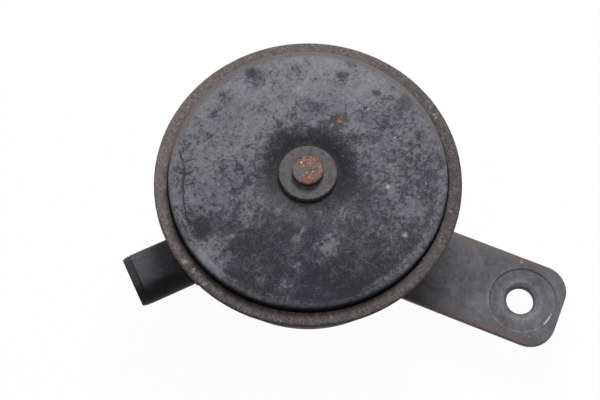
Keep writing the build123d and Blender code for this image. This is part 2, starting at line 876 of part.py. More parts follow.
def build_horn():
    feed_level, return_level = blade_levels()
    return {
        "housing_pot": make_housing_pot(),
        "crimp_ring": make_crimp_ring(),
        "flange_gasket": make_flange_gasket(),
        "diaphragm": make_diaphragm(),
        "tone_disc": make_tone_disc(),
        "armature": make_armature(),
        "front_washer": make_front_washer(),
        "spacer_bush": make_spacer_bush(),
        "clamp_washer": make_clamp_washer(),
        "core_stud": make_core_stud(),
        "coil_bobbin": make_coil_bobbin(),
        "coil_winding": make_coil_winding(),
        "coil_keeper": make_coil_keeper(),
        "contact_bracket": make_contact_bracket(),
        "bracket_rivets": make_bracket_rivets(),
        "lower_insulator": stack_sheet(breaker_shelf, leaf_base),
        "middle_insulator": stack_sheet(arm_base, fixed_arm_base),
        "upper_insulator": stack_sheet(fixed_arm_top, breaker_head),
        "breaker_rivets": make_breaker_rivets(),
        "leaf_spring": make_leaf_spring(),
        "contact_arm": make_contact_arm(),
        "arm_rivet": make_arm_rivet(),
        "moving_contact": make_moving_contact(),
        "pusher": make_pusher(),
        "fixed_arm": make_fixed_arm(),
        "fixed_contact": make_fixed_contact(),
        "screw_bush": make_screw_bush(),
        "adjusting_screw": make_adjusting_screw(),
        "connector_shell": make_connector_shell(),
        "connector_seal": make_connector_seal(),
        "terminal_feed": make_terminal(feed_level),
        "terminal_return": make_terminal(return_level),
        "coil_wire": make_coil_wire(),
        "breaker_wire": make_breaker_wire(),
        "return_wire": make_return_wire(),
        "mounting_bracket": make_mounting_bracket(),
        "lock_washer": make_lock_washer(),
        "mounting_nut": make_mounting_nut(),
    }


def hole_position():
    """The bolt hole's place from the horn's axis."""
    angle = math.radians(strap_angle)
    return bolt_hole_reach * math.cos(angle), bolt_hole_reach * math.sin(angle)


def main():
    os.makedirs("parts", exist_ok=True)
    hole_x, hole_y = hole_position()
    for name, shape in build_horn().items():
        export_step(Pos(-hole_x, -hole_y, 0) * shape, f"parts/{name}.step")


if __name__ == "__main__":
    main()
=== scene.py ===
import json
import math

import bpy
from mathutils import Matrix, Vector, noise

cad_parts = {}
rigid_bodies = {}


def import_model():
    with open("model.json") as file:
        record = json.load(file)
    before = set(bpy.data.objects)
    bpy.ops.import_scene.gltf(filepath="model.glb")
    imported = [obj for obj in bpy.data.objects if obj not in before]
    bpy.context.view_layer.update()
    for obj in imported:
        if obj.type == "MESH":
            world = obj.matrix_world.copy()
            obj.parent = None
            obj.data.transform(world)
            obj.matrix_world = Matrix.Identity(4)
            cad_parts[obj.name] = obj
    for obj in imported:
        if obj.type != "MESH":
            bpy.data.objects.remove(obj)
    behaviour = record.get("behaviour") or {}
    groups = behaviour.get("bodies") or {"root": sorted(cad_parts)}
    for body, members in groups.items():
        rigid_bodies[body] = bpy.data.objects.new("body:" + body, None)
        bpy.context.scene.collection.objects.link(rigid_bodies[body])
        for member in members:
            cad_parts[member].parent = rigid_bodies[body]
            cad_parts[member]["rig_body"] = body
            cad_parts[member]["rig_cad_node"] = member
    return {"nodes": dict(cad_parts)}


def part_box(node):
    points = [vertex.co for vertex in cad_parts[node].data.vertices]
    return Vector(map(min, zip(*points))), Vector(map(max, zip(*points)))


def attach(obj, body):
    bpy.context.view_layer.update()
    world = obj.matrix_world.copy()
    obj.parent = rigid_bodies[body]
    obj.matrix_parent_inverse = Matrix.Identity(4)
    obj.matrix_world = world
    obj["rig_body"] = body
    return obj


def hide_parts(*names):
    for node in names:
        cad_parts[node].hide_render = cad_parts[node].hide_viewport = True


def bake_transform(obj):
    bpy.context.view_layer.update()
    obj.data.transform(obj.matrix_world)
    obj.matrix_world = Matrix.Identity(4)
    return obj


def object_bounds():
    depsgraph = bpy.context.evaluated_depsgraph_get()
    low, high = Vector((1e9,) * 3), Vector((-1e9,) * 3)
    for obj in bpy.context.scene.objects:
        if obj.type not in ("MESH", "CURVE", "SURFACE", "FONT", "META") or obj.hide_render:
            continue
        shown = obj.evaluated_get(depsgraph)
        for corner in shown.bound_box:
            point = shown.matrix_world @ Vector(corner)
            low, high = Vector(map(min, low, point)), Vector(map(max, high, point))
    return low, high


bl_info = {
    "name": "Car horn dresser",
    "version": (1, 0, 0),
    "blender": (4, 5, 0),
    "location": "View3D > Sidebar > Horn",
    "description": "Gives a disc horn for a car its worn pressings, rust, paint and stage",
    "category": "Object",
}

for leftover in list(bpy.data.objects):
    bpy.data.objects.remove(leftover)
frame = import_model()
cad_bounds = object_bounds()

MM = 0.001

# Places read from the frame, in metres.
RING_LOW, RING_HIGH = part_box("crimp_ring")
AXIS = Vector(((RING_LOW.x + RING_HIGH.x) / 2, (RING_LOW.y + RING_HIGH.y) / 2, 0))
RIM = (RING_HIGH.x - RING_LOW.x) / 2
FRONT = RING_HIGH.z
DISC_LOW, DISC_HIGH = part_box("tone_disc")
DISC_RADIUS = (DISC_HIGH.x - DISC_LOW.x) / 2
STRAP_ANGLE = math.atan2(-AXIS.y, -AXIS.x)


# ---------------------------------------------------------------- what a user may change

class HornSizes(bpy.types.PropertyGroup):
    """Sizes of the pieces that are modelled here."""

    spin_steps: bpy.props.IntProperty(
        name="Steps round the horn", description="Segments of a piece turned about the horn's axis",
        default=384, min=48, max=512, subtype="UNSIGNED")
    disc_edge_round: bpy.props.FloatProperty(
        name="Edge of the disc", description="Radius at which the disc turns down at its edge",
        default=1.05 * MM, unit="LENGTH", subtype="DISTANCE")
    disc_overhang: bpy.props.FloatProperty(
        name="Disc overhang", description="How far the disc reaches past its solid, towards the ring's bore",
        default=0.35 * MM, unit="LENGTH", subtype="DISTANCE")
    disc_wall: bpy.props.FloatProperty(
        name="Disc wall", description="Sheet thickness of the tone disc",
        default=1.0 * MM, unit="LENGTH", subtype="DISTANCE")
    grit_height: bpy.props.FloatProperty(
        name="Rust grit", description="How far the rust stands out on the crimp ring",
        default=0.10 * MM, unit="LENGTH", subtype="DISTANCE")
    strap_edge: bpy.props.FloatProperty(
        name="Edge of the strap", description="Rounding that the press leaves on the strap's edges",
        default=0.25 * MM, unit="LENGTH", subtype="DISTANCE")
    thread_pitch: bpy.props.FloatProperty(
        name="Stud thread", description="Pitch of the thread on the rear stud",
        default=1.25 * MM, unit="LENGTH", subtype="DISTANCE")


class HornColours(bpy.types.PropertyGroup):
    """Colours of the finishes."""

    paint: bpy.props.FloatVectorProperty(
        name="Black paint", description="Sound paint on the disc and the strap",
        subtype="COLOR", default=(0.017, 0.018, 0.023), min=0, max=1)
    chalk: bpy.props.FloatVectorProperty(
        name="Chalked paint", description="Paint that the weather has turned pale",
        subtype="COLOR", default=(0.285, 0.280, 0.300), min=0, max=1)
    chalk_cold: bpy.props.FloatVectorProperty(
        name="Chalked paint, bluish", description="Colder tone of the paint that the weather has turned pale",
        subtype="COLOR", default=(0.262, 0.264, 0.297), min=0, max=1)
    scale_brown: bpy.props.FloatVectorProperty(
        name="Brown scale", description="Even old rust on the crimp ring",
        subtype="COLOR", default=(0.192, 0.160, 0.151), min=0, max=1)
    scale_pale: bpy.props.FloatVectorProperty(
        name="Pale grit", description="Pale grains in the old rust",
        subtype="COLOR", default=(0.385, 0.335, 0.320), min=0, max=1)
    rust_dark: bpy.props.FloatVectorProperty(
        name="Dark rust", description="Darkest tone of fresh rust",
        subtype="COLOR", default=(0.050, 0.024, 0.016), min=0, max=1)
    rust_bright: bpy.props.FloatVectorProperty(
        name="Bright rust", description="Brightest tone of fresh rust",
        subtype="COLOR", default=(0.32, 0.140, 0.085), min=0, max=1)
    strap_dark: bpy.props.FloatVectorProperty(
        name="Strap, dark", description="Darker tone of the faded paint on the strap",
        subtype="COLOR", default=(0.062, 0.061, 0.069), min=0, max=1)
    strap_pale: bpy.props.FloatVectorProperty(
        name="Strap, pale", description="Paler tone of the faded paint on the strap",
        subtype="COLOR", default=(0.136, 0.133, 0.149), min=0, max=1)
    rubber: bpy.props.FloatVectorProperty(
        name="Black plastic", description="Soft black moulding of the socket",
        subtype="COLOR", default=(0.022, 0.0218, 0.0235), min=0, max=1)
    zinc: bpy.props.FloatVectorProperty(
        name="Zinc", description="Dulled zinc plate on fasteners",
        subtype="COLOR", default=(0.30, 0.295, 0.28), min=0, max=1)


class StageSettings(bpy.types.PropertyGroup):
    """Light, floor and camera."""

    key_power: bpy.props.FloatProperty(
        name="Key light", description="Power of the large soft light beyond the horn",
        default=3.2, min=0, unit="POWER")
    fill_power: bpy.props.FloatProperty(
        name="Fill light", description="Power of the soft light over the camera",
        default=0.6, min=0, unit="POWER")
    ambient: bpy.props.FloatProperty(
        name="Ambient", description="Strength of the even light from all round",
        default=0.20, min=0, max=1, subtype="FACTOR")
    camera_azimuth: bpy.props.FloatProperty(
        name="Camera azimuth", description="Direction that the camera looks in, from +Y towards -X",
        default=math.radians(-24.534), subtype="ANGLE")
    camera_elevation: bpy.props.FloatProperty(
        name="Camera elevation", description="How steeply the camera looks down",
        default=math.radians(67.756), subtype="ANGLE")
    camera_roll: bpy.props.FloatProperty(
        name="Camera roll", description="Turn of the camera about its own line of sight",
        default=math.radians(-0.994), subtype="ANGLE")
    camera_distance: bpy.props.FloatProperty(
        name="Camera distance", description="From the camera to the front of the horn",
        default=0.34722, unit="LENGTH", subtype="DISTANCE")
    camera_aim: bpy.props.FloatVectorProperty(
        name="Camera aim", description="Point looked at, from the middle of the crimp ring's front",
        size=2, default=(-0.00512, -0.00545), unit="LENGTH", subtype="XYZ")
    lens: bpy.props.FloatProperty(
        name="Lens", description="Focal length on a 36 mm sensor",
        default=72.0, unit="CAMERA")


# ---------------------------------------------------------------- shader nodes

def add(tree, kind, inputs=None, **settings):
    """A node with its settings, where each input is a value or another node's output."""
    node = tree.nodes.new(kind)
    for name, value in settings.items():
        setattr(node, name, value)
    for name, value in (inputs or {}).items():
        if isinstance(value, bpy.types.NodeSocket):
            tree.links.new(value, node.inputs[name])
        else:
            node.inputs[name].default_value = value
    return node


def calc(tree, operation, first, second=0.0, clamp=False):
    """One sum of two numbers."""
    return add(tree, "ShaderNodeMath", {0: first, 1: second}, operation=operation, use_clamp=clamp).outputs[0]


def vector_calc(tree, operation, first, second):
    """One sum of two vectors, which gives a number where it is a distance or a dot product."""
    node = add(tree, "ShaderNodeVectorMath", {0: first, 1: second}, operation=operation)
    return node.outputs["Value" if operation in ("DISTANCE", "DOT_PRODUCT") else "Vector"]


def parts_of(tree, vector):
    """The X, Y and Z of a vector."""
    return add(tree, "ShaderNodeSeparateXYZ", {0: vector}).outputs


def facing(tree):
    """The way that the surface faces."""
    return add(tree, "ShaderNodeNewGeometry").outputs["Normal"]


def mix(tree, factor, first, second):
    """Two colours mixed by a factor."""
    return add(tree, "ShaderNodeMix", {0: factor, 6: first, 7: second}, data_type="RGBA").outputs[2]


def spread(tree, value, low, high, to_low=0.0, to_high=1.0):
    """A number moved from one range to another, smoothly and without running over."""
    return add(
        tree, "ShaderNodeMapRange",
        {"Value": value, "From Min": low, "From Max": high, "To Min": to_low, "To Max": to_high},
        interpolation_type="SMOOTHSTEP",
    ).outputs[0]


def cloud(tree, where, scale, detail=5.0, roughness=0.62, distortion=0.0):
    """A fractal noise between nought and one."""
    return add(tree, "ShaderNodeTexNoise", {
        "Vector": where, "Scale": scale, "Detail": detail, "Roughness": roughness, "Distortion": distortion,
    }).outputs["Fac"]


def swing(tree, value, reach):
    """How far a number is from a half, made larger or smaller."""
    return calc(tree, "MULTIPLY", calc(tree, "SUBTRACT", value, 0.5), reach)


def total(tree, first, *others):
    """The sum of several numbers."""
    for other in others:
        first = calc(tree, "ADD", first, other)
    return first


def product(tree, first, *others):
    """Several numbers multiplied."""
    for other in others:
        first = calc(tree, "MULTIPLY", first, other)
    return first


def most(tree, first, *others):
    """The largest of several numbers."""
    for other in others:
        first = calc(tree, "MAXIMUM", first, other)
    return first


def held(tree, value):
    """A number kept between nought and one."""
    return calc(tree, "MULTIPLY", value, 1.0, clamp=True)


def inverse(tree, value):
    """What a number lacks to one."""
    return calc(tree, "SUBTRACT", 1.0, value)


def away_from(tree, value, middle):
    """How far a number is from another, either way."""
    return calc(tree, "ABSOLUTE", calc(tree, "SUBTRACT", value, middle))


def near(tree, value, middle, inner, outer, peak=1.0):
    """A peak where a number lies close to another, fading to nothing further off."""
    return spread(tree, away_from(tree, value, middle), inner, outer, peak, 0.0)


def towards(tree, turn, degrees):
    """One on the side that an angle points to, and minus one on the far side."""
    return calc(tree, "COSINE", calc(tree, "SUBTRACT", turn, math.radians(degrees)))


def mark(tree, name):
    """A number stored on the points of the piece."""
    return add(tree, "ShaderNodeAttribute", attribute_name=name).outputs["Fac"]


def opaque(colour):
    """A colour with its alpha."""
    return (*colour, 1.0)


def new_group(name, inputs, outputs):
    """An empty shader node group with named sockets."""
    tree = bpy.data.node_groups.new(name, "ShaderNodeTree")
    for label, kind, default in inputs:
        socket = tree.interface.new_socket(label, in_out="INPUT", socket_type="NodeSocket" + kind)
        if default is not None:
            socket.default_value = default
    for label, kind in outputs:
        tree.interface.new_socket(label, in_out="OUTPUT", socket_type="NodeSocket" + kind)
    return tree, tree.nodes.new("NodeGroupInput").outputs, tree.nodes.new("NodeGroupOutput").inputs


def place(tree, name, inputs):
    """A shader node group placed in a material, with its own values."""
    return add(tree, "ShaderNodeGroup", inputs, node_tree=bpy.data.node_groups[name]).outputs


def build_blotches_group():
    """Soft-edged patches of any size and coverage."""
    tree, given, out = new_group(
        "Blotches",
        [("Vector", "Vector", None), ("Scale", "Float", 100.0), ("Coverage", "Float", 0.5),
         ("Softness", "Float", 0.1), ("Detail", "Float", 4.0)],
        [("Mask", "Float")])
    noise = cloud(tree, given["Vector"], given["Scale"], given["Detail"])
    middle = inverse(tree, given["Coverage"])
    low = calc(tree, "SUBTRACT", middle, given["Softness"])
    high = total(tree, middle, given["Softness"])
    tree.links.new(spread(tree, noise, low, high), out["Mask"])


def build_grit_group():
    """Grain of many sizes, with ragged pale specks and small dark pits."""
    tree, given, out = new_group(
        "Grit",
        [("Vector", "Vector", None), ("Scale", "Float", 1500.0), ("Specks", "Float", 0.1), ("Pits", "Float", 0.1)],
        [("Grain", "Float"), ("Specks", "Float"), ("Pits", "Float"), ("Height", "Float")])
    moved = vector_calc(tree, "ADD", given["Vector"], (0.31, 0.17, 0.23))
    grain = cloud(tree, given["Vector"], given["Scale"], 7.0, 0.75)
    bright = cloud(tree, moved, given["Scale"], 3.0, 0.6)
    dark = cloud(tree, given["Vector"], product(tree, given["Scale"], 0.8), 3.0, 0.6)
    speck_from = spread(tree, given["Specks"], 0.0, 0.5, 0.74, 0.52)
    pit_from = spread(tree, given["Pits"], 0.0, 0.5, 0.74, 0.52)
    speck = spread(tree, bright, speck_from, total(tree, speck_from, 0.05))
    pit = spread(tree, dark, pit_from, total(tree, pit_from, 0.05))
    tree.links.new(spread(tree, grain, 0.3, 0.7), out["Grain"])
    tree.links.new(speck, out["Specks"])
    tree.links.new(pit, out["Pits"])
    height = total(tree, grain, product(tree, speck, 0.3), product(tree, pit, -0.5))
    tree.links.new(height, out["Height"])


def build_axis_group():
    """How far a place is from an upright axis, and at what angle round it."""
    tree, given, out = new_group(
        "From the axis", [("Vector", "Vector", None), ("Centre", "Vector", tuple(AXIS))],
        [("Reach", "Float"), ("Turn", "Float"), ("Height", "Float")])
    parts = parts_of(tree, vector_calc(tree, "SUBTRACT", given["Vector"], given["Centre"]))
    squares = total(tree, product(tree, parts["X"], parts["X"]), product(tree, parts["Y"], parts["Y"]))
    tree.links.new(calc(tree, "SQRT", squares), out["Reach"])
    tree.links.new(calc(tree, "ARCTAN2", parts["Y"], parts["X"]), out["Turn"])
    tree.links.new(parts["Z"], out["Height"])


def build_scratch_group():
    """A scratch along an arc round the horn, that wavers and fades at its ends."""
    tree, given, out = new_group(
        "Scratch",
        [("Vector", "Vector", None), ("Radius", "Float", 0.036), ("Drift", "Float", 0.0), ("Middle", "Float", 0.0),
         ("Span", "Float", 0.3), ("Width", "Float", 0.0003)],
        [("Mask", "Float")])
    polar = round_axis(tree, given["Vector"])
    aside = calc(tree, "WRAP", calc(tree, "SUBTRACT", polar["Turn"], given["Middle"]), math.pi)
    tree.nodes[-1].inputs[2].default_value = -math.pi
    waver = swing(tree, cloud(tree, given["Vector"], 300.0, 4.0), 0.0024)
    track = total(tree, given["Radius"], product(tree, aside, given["Drift"]), waver)
    stroke = near(tree, polar["Reach"], track, product(tree, given["Width"], 0.4), given["Width"])
    within = near(tree, aside, 0.0, product(tree, given["Span"], 0.8), given["Span"])
    tree.links.new(product(tree, stroke, within), out["Mask"])


def build_rust_group():
    """The broken tones of rust between its darkest and its brightest."""
    tree, given, out = new_group(
        "Rust tones",
        [("Vector", "Vector", None), ("Scale", "Float", 700.0), ("Dark", "Color", (0, 0, 0, 1)),
         ("Bright", "Color", (1, 1, 1, 1))],
        [("Colour", "Color"), ("Height", "Float")])
    broad = cloud(tree, given["Vector"], given["Scale"], 6.0, 0.68)
    tone = spread(tree, broad, 0.33, 0.66)
    tree.links.new(mix(tree, tone, given["Dark"], given["Bright"]), out["Colour"])
    tree.links.new(broad, out["Height"])


def build_edge_group():
    """Edges that handling has rubbed, broken up by a fine noise."""
    tree, given, out = new_group(
        "Edge wear",
        [("Vector", "Vector", None), ("Width", "Float", 0.0004), ("Scale", "Float", 400.0), ("Amount", "Float", 0.5)],
        [("Mask", "Float")])
    rounded = add(tree, "ShaderNodeBevel", {"Radius": given["Width"]}, samples=6)
    edge = spread(tree, vector_calc(tree, "DOT_PRODUCT", rounded.outputs[0], facing(tree)), 0.999, 0.93)
    broken = spread(tree, cloud(tree, given["Vector"], given["Scale"], 4.0, 0.6), 0.62, 0.42)
    tree.links.new(held(tree, product(tree, edge, broken, given["Amount"])), out["Mask"])


def build_dust_group():
    """Dust that settles on what faces up."""
    tree, given, out = new_group(
        "Settled dust",
        [("Vector", "Vector", None), ("Scale", "Float", 250.0), ("Amount", "Float", 0.2)],
        [("Mask", "Float")])
    up = parts_of(tree, facing(tree))["Z"]
    drifted = spread(tree, cloud(tree, given["Vector"], given["Scale"], 5.0, 0.6), 0.35, 0.7)
    tree.links.new(product(tree, spread(tree, up, 0.1, 0.9), drifted, given["Amount"]), out["Mask"])


def build_groups():
    """All shader node groups, once each."""
    build_blotches_group()
    build_grit_group()
    build_axis_group()
    build_scratch_group()
    build_rust_group()
    build_edge_group()
    build_dust_group()


def lay_blotches(tree, where, scale, coverage, softness, detail):
    """The mask of the soft-edged patches."""
    return place(tree, "Blotches", {
        "Vector": where, "Scale": scale, "Coverage": coverage, "Softness": softness, "Detail": detail})["Mask"]


def lay_grit(tree, where, scale, specks, pits):
    """The grain, specks, pits and height of the grit."""
    return place(tree, "Grit", {"Vector": where, "Scale": scale, "Specks": specks, "Pits": pits})


def lay_rust(tree, where, scale, dark, bright):
    """The colour and height of the rust."""
    return place(tree, "Rust tones", {"Vector": where, "Scale": scale, "Dark": dark, "Bright": bright})


def lay_wear(tree, where, width, scale, amount):
    """The mask of the rubbed edges."""
    return place(tree, "Edge wear", {"Vector": where, "Width": width, "Scale": scale, "Amount": amount})["Mask"]


def round_axis(tree, where, centre=tuple(AXIS)):
    """The reach, turn and height from an upright axis, the horn's own if none is given."""
    return place(tree, "From the axis", {"Vector": where, "Centre": centre})


def empty_tree(owner):
    """The node tree of a material or a world, with nothing in it."""
    owner.use_nodes = True
    owner.node_tree.nodes.clear()
    return owner.node_tree


def new_material(name, level, metallic=0.0):
    """A material with a Principled shader, and the object's own coordinates."""
    material = bpy.data.materials.new(name)
    tree = empty_tree(material)
    shader = add(tree, "ShaderNodeBsdfPrincipled", {"Metallic": metallic, "Specular IOR Level": level})
    add(tree, "ShaderNodeOutputMaterial", {"Surface": shader.outputs[0]})
    where = add(tree, "ShaderNodeTexCoord").outputs["Object"]
    return material, tree, shader, where


def finish_material(tree, shader, colour, roughness, height, depth, strength):
    """Colour, roughness and relief, joined to the shader."""
    bump = add(tree, "ShaderNodeBump", {"Height": height, "Distance": depth, "Strength": strength})
    tree.links.new(colour, shader.inputs["Base Color"])
    tree.links.new(roughness, shader.inputs["Roughness"])
    tree.links.new(bump.outputs[0], shader.inputs["Normal"])


def colours():
    """The colours in the panel."""
    return bpy.context.scene.horn_colours


def sizes():
    """The sizes in the panel."""
    return bpy.context.scene.horn_sizes


# ---------------------------------------------------------------- modelling helpers

def in_unit(value):
    """A number kept between nought and one."""
    return max(0.0, min(1.0, value))


def smooth(share):
    """A share of the way, eased at both ends."""
    return share ** 2 * (3 - 2 * share)


def activate(piece):
    """Make this the only selected object, and the active one."""
    bpy.ops.object.select_all(action="DESELECT")
    piece.select_set(True)
    bpy.context.view_layer.objects.active = piece


def edit_all():
    """Edit the active piece, with all of it selected."""
    bpy.ops.object.mode_set(mode="EDIT")
    bpy.ops.mesh.select_all(action="SELECT")


def cut_across(piece, points, normal):
    """Cut right through a piece at each of several parallel planes, so that it can be bent there."""
    activate(piece)
    bpy.ops.object.mode_set(mode="EDIT")
    for point in points:
        bpy.ops.mesh.select_all(action="SELECT")
        bpy.ops.mesh.bisect(plane_co=point, plane_no=normal)
    bpy.ops.object.mode_set(mode="OBJECT")


def arc(centre_radius, centre_height, size, start, end, count):
    """Points of a round stretch of a profile, by angle in degrees from outwards to up."""
    turn = [math.radians(start + (end - start) * step / count) for step in range(count + 1)]
    return [(centre_radius + size * math.cos(a), centre_height + size * math.sin(a)) for a in turn]


def line(start, end, step):
    """Points along a straight stretch of a profile, its end left out."""
    length = math.dist(start, end)
    count = max(1, round(length / step))
    return [
        (start[0] + (end[0] - start[0]) * i / count, start[1] + (end[1] - start[1]) * i / count)
        for i in range(count)
    ]


def spin_piece(name, profile, steps):
    """A closed piece drawn as a profile of (radius, height) points and spun about the horn's axis."""
    first = (AXIS.x + profile[0][0], AXIS.y, profile[0][1])
    bpy.ops.object.select_all(action="DESELECT")
    bpy.ops.mesh.primitive_circle_add(vertices=3, radius=0.1 * MM, location=first)
    piece = bpy.context.object
    piece.name = name
    bpy.ops.object.transform_apply(location=True, rotation=True, scale=True)
    edit_all()
    bpy.ops.mesh.merge(type="CENTER")
    for start, end in zip(profile, profile[1:]):
        move = (end[0] - start[0], 0, end[1] - start[1])
        bpy.ops.mesh.extrude_region_move(TRANSFORM_OT_translate={"value": move})
    bpy.ops.mesh.select_all(action="SELECT")
    bpy.ops.mesh.spin(steps=steps, angle=math.tau, center=AXIS, axis=(0, 0, 1))
    bpy.ops.mesh.select_all(action="SELECT")
    bpy.ops.mesh.remove_doubles(threshold=0.002 * MM)
    bpy.ops.mesh.normals_make_consistent(inside=False)
    bpy.ops.object.mode_set(mode="OBJECT")
    return piece


def merged_copy(name, node):
    """A copy of a node's mesh with its loose triangles joined, ready to be worked on."""
    piece = frame["nodes"][node].copy()
    piece.data = piece.data.copy()
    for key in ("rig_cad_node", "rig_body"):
        del piece[key]
    piece.name = name
    piece.parent = None
    bpy.context.scene.collection.objects.link(piece)
    activate(piece)
    bpy.ops.mesh.customdata_custom_splitnormals_clear()
    edit_all()
    bpy.ops.mesh.remove_doubles(threshold=0.001 * MM)
    bpy.ops.mesh.normals_make_consistent(inside=False)
    bpy.ops.object.mode_set(mode="OBJECT")
    return piece


def ease_edges(piece, width):
    """Round the sharp edges of a piece, as its press or mould leaves them."""
    activate(piece)
    edit_all()
    bpy.ops.mesh.dissolve_limited(angle_limit=math.radians(0.5))
    bpy.ops.object.mode_set(mode="OBJECT")
    rounding = piece.modifiers.new("rounding", "BEVEL")
    rounding.width = width
    rounding.segments = 3
    rounding.limit_method = "ANGLE"
    rounding.angle_limit = math.radians(30)
    rounding.harden_normals = False
    bpy.ops.object.modifier_apply(modifier=rounding.name)


def roughen(piece, height, grain, detail):
    """Push a dense mesh in and out by a fine cloud pattern."""
    pattern = bpy.data.textures.new(piece.name + "_relief", "CLOUDS")
    pattern.noise_scale = grain
    pattern.noise_depth = detail
    push = piece.modifiers.new("relief", "DISPLACE")
    push.texture = pattern
    push.texture_coords = "LOCAL"
    push.strength = height
    push.mid_level = 0.5
    activate(piece)
    bpy.ops.object.modifier_apply(modifier=push.name)


def hand_over(piece, material, slot, body, *nodes, angle=35):
    """Shade a finished piece, give it its material and let it stand for its nodes, joined to its body where one is
    given.
    """
    activate(piece)
    bpy.ops.object.shade_smooth_by_angle(angle=math.radians(angle))
    piece.data.materials.clear()
    piece.data.materials.append(material)
    if body:
        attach(piece, body)
    if nodes:
        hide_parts(*nodes)


def paint_nodes(material, *names):
    """Give nodes that keep their own mesh a finish."""
    for name in names:
        frame["nodes"][name].material_slots[0].material = material


# ---------------------------------------------------------------- tone disc

# Height of the pressing above the crimp ring: its sunken middle, its crown and its edge.
DISC_MIDDLE = (9.4 * MM, DISC_HIGH.z - FRONT - 1.2 * MM)
DISC_CROWN = (17.0 * MM, DISC_HIGH.z - FRONT)
DISC_EDGE_HEIGHT = DISC_HIGH.z - FRONT - 0.8 * MM
SWELL_SLOPE = 0.12
FALL_SLOPE = -0.07
DISC_BORE = 3.45 * MM
DISC_STEP = 0.45 * MM                   # between the points of its section
DENT_DEPTH = 0.10 * MM
DENT_WIDTH = 9 * MM


def ease(start, end, start_slope, end_slope, share):
    """Height between two points of a pressing that meets given slopes at both."""
    run = end[0] - start[0]
    rise = (end[1] - start[1]) * smooth(share)
    leave = start_slope * run * (share ** 3 - 2 * share ** 2 + share)
    arrive = end_slope * run * (share ** 3 - share ** 2)
    return start[1] + rise + leave + arrive


def disc_height(radius, edge_radius):
    """Top of the disc at a radius, above the crimp ring."""
    edge = (edge_radius, DISC_EDGE_HEIGHT)
    if radius <= DISC_MIDDLE[0]:
        return DISC_MIDDLE[1]
    if radius <= DISC_CROWN[0]:
        share = (radius - DISC_MIDDLE[0]) / (DISC_CROWN[0] - DISC_MIDDLE[0])
        return ease(DISC_MIDDLE, DISC_CROWN, SWELL_SLOPE, 0, share)
    share = (radius - DISC_CROWN[0]) / (edge_radius - DISC_CROWN[0])
    return ease(DISC_CROWN, edge, 0, FALL_SLOPE, min(share, 1.0))


def disc_profile():
    """Closed section of the disc, from its bore over the top, round the edge and back under."""
    wall = sizes().disc_wall
    round_size = sizes().disc_edge_round
    rim = DISC_RADIUS + sizes().disc_overhang
    edge_radius = rim - round_size
    count = round((edge_radius - DISC_BORE) / DISC_STEP)
    reach = [DISC_BORE + (edge_radius - DISC_BORE) * i / count for i in range(count)]
    top = [(r, FRONT + disc_height(r, edge_radius)) for r in reach]
    under = [(r, height - wall) for r, height in top]
    edge_level = FRONT + DISC_EDGE_HEIGHT - round_size
    corner = arc(edge_radius, edge_level, round_size, 90, 0, 6)
    inner_corner = arc(edge_radius, edge_level, round_size - wall, 0, 90, 3)
    skirt = [(rim, DISC_LOW.z), (rim - wall, DISC_LOW.z)]
    return top + corner + skirt + inner_corner + under[::-1] + [top[0]]


# Marks that the weather left on the disc: place from the horn's axis and reach, in millimetres, and how
# strongly each shows.
SOUND_PATCHES = (
    (0.0, 35.2, 3.2, 0.65), (-1.3, 37.3, 1.4, 0.5), (11.8, 32.2, 2.0, 0.35), (23.0, 24.3, 1.7, 0.7),
    (27.6, 27.6, 2.0, 0.6), (29.3, 14.8, 1.0, 0.7), (-11.2, 32.8, 2.6, 0.4), (-16.9, 29.6, 1.7, 0.4),
    (11.2, 18.4, 3.2, 0.35), (-0.8, 17.9, 1.2, 0.5), (36.5, 8.1, 2.9, 0.35), (15.8, 11.0, 2.6, 0.5),
    (-34.5, -3.3, 2.2, 0.6), (30.3, 7.2, 7.0, 0.20), (-28.8, -12.0, 3.4, 0.18),
    (-12.3, -15.9, 10.4, 0.06), (7.4, -33.3, 4.1, 0.20), (-8.2, -34.7, 7.0, 0.16), (-3.0, 14.0, 4.0, 0.2),
    (10.6, -12.6, 4.6, 0.15), (9.6, 9.0, 4.1, 0.25), (5.6, 17.0, 4.0, 0.14), (21.3, 2.3, 4.5, 0.15),
)
PALE_PATCHES = (
    (-35.4, -11.5, 6.4, 0.57), (-29.6, 6.6, 7.0, 0.32), (-36.7, 8.3, 4.1, 0.25), (-21.0, -29.2, 3.8, 0.55),
    (-24.9, -23.7, 2.6, 0.3), (-12.0, -6.6, 1.7, 0.4), (-7.3, -10.1, 2.0, 0.35), (-2.1, -11.7, 1.7, 0.35),
    (-9.1, -5.9, 1.4, 0.3), (19.2, -14.7, 2.0, 0.35), (23.1, -23.4, 2.9, 0.3), (16.6, -29.1, 0.9, 0.7),
    (-9.0, -15.3, 0.8, 0.6), (-27.8, -8.3, 0.9, 0.6), (-22.8, -6.9, 1.7, 0.3), (-11.5, -17.0, 1.2, 0.3),
    (-4.9, -22.8, 3.8, 0.4), (-9.9, -26.0, 1.2, 0.35), (-20.0, -2.0, 8.0, 0.14), (13.0, 10.6, 0.6, 0.6),
    (-11.9, 28.4, 11.6, 0.12), (16.7, 0.2, 0.9, 0.35), (4.0, -16.3, 2.9, 0.22), (0.5, -21.0, 6.0, 0.12),
    (-15.5, -24.5, 2.0, 0.3), (-12.2, -20.3, 5.0, 0.20), (-5.0, -26.0, 3.0, 0.12), (-20.5, 14.5, 5.5, 0.13),
    (-12.8, 9.6, 4.0, 0.22), (-26.5, 15.0, 3.5, 0.12), (21.4, -21.4, 6.5, 0.22), (8.5, -35.0, 5.5, 0.20),
    (1.5, -33.0, 4.5, 0.10), (12.5, -27.0, 4.5, 0.10),
)
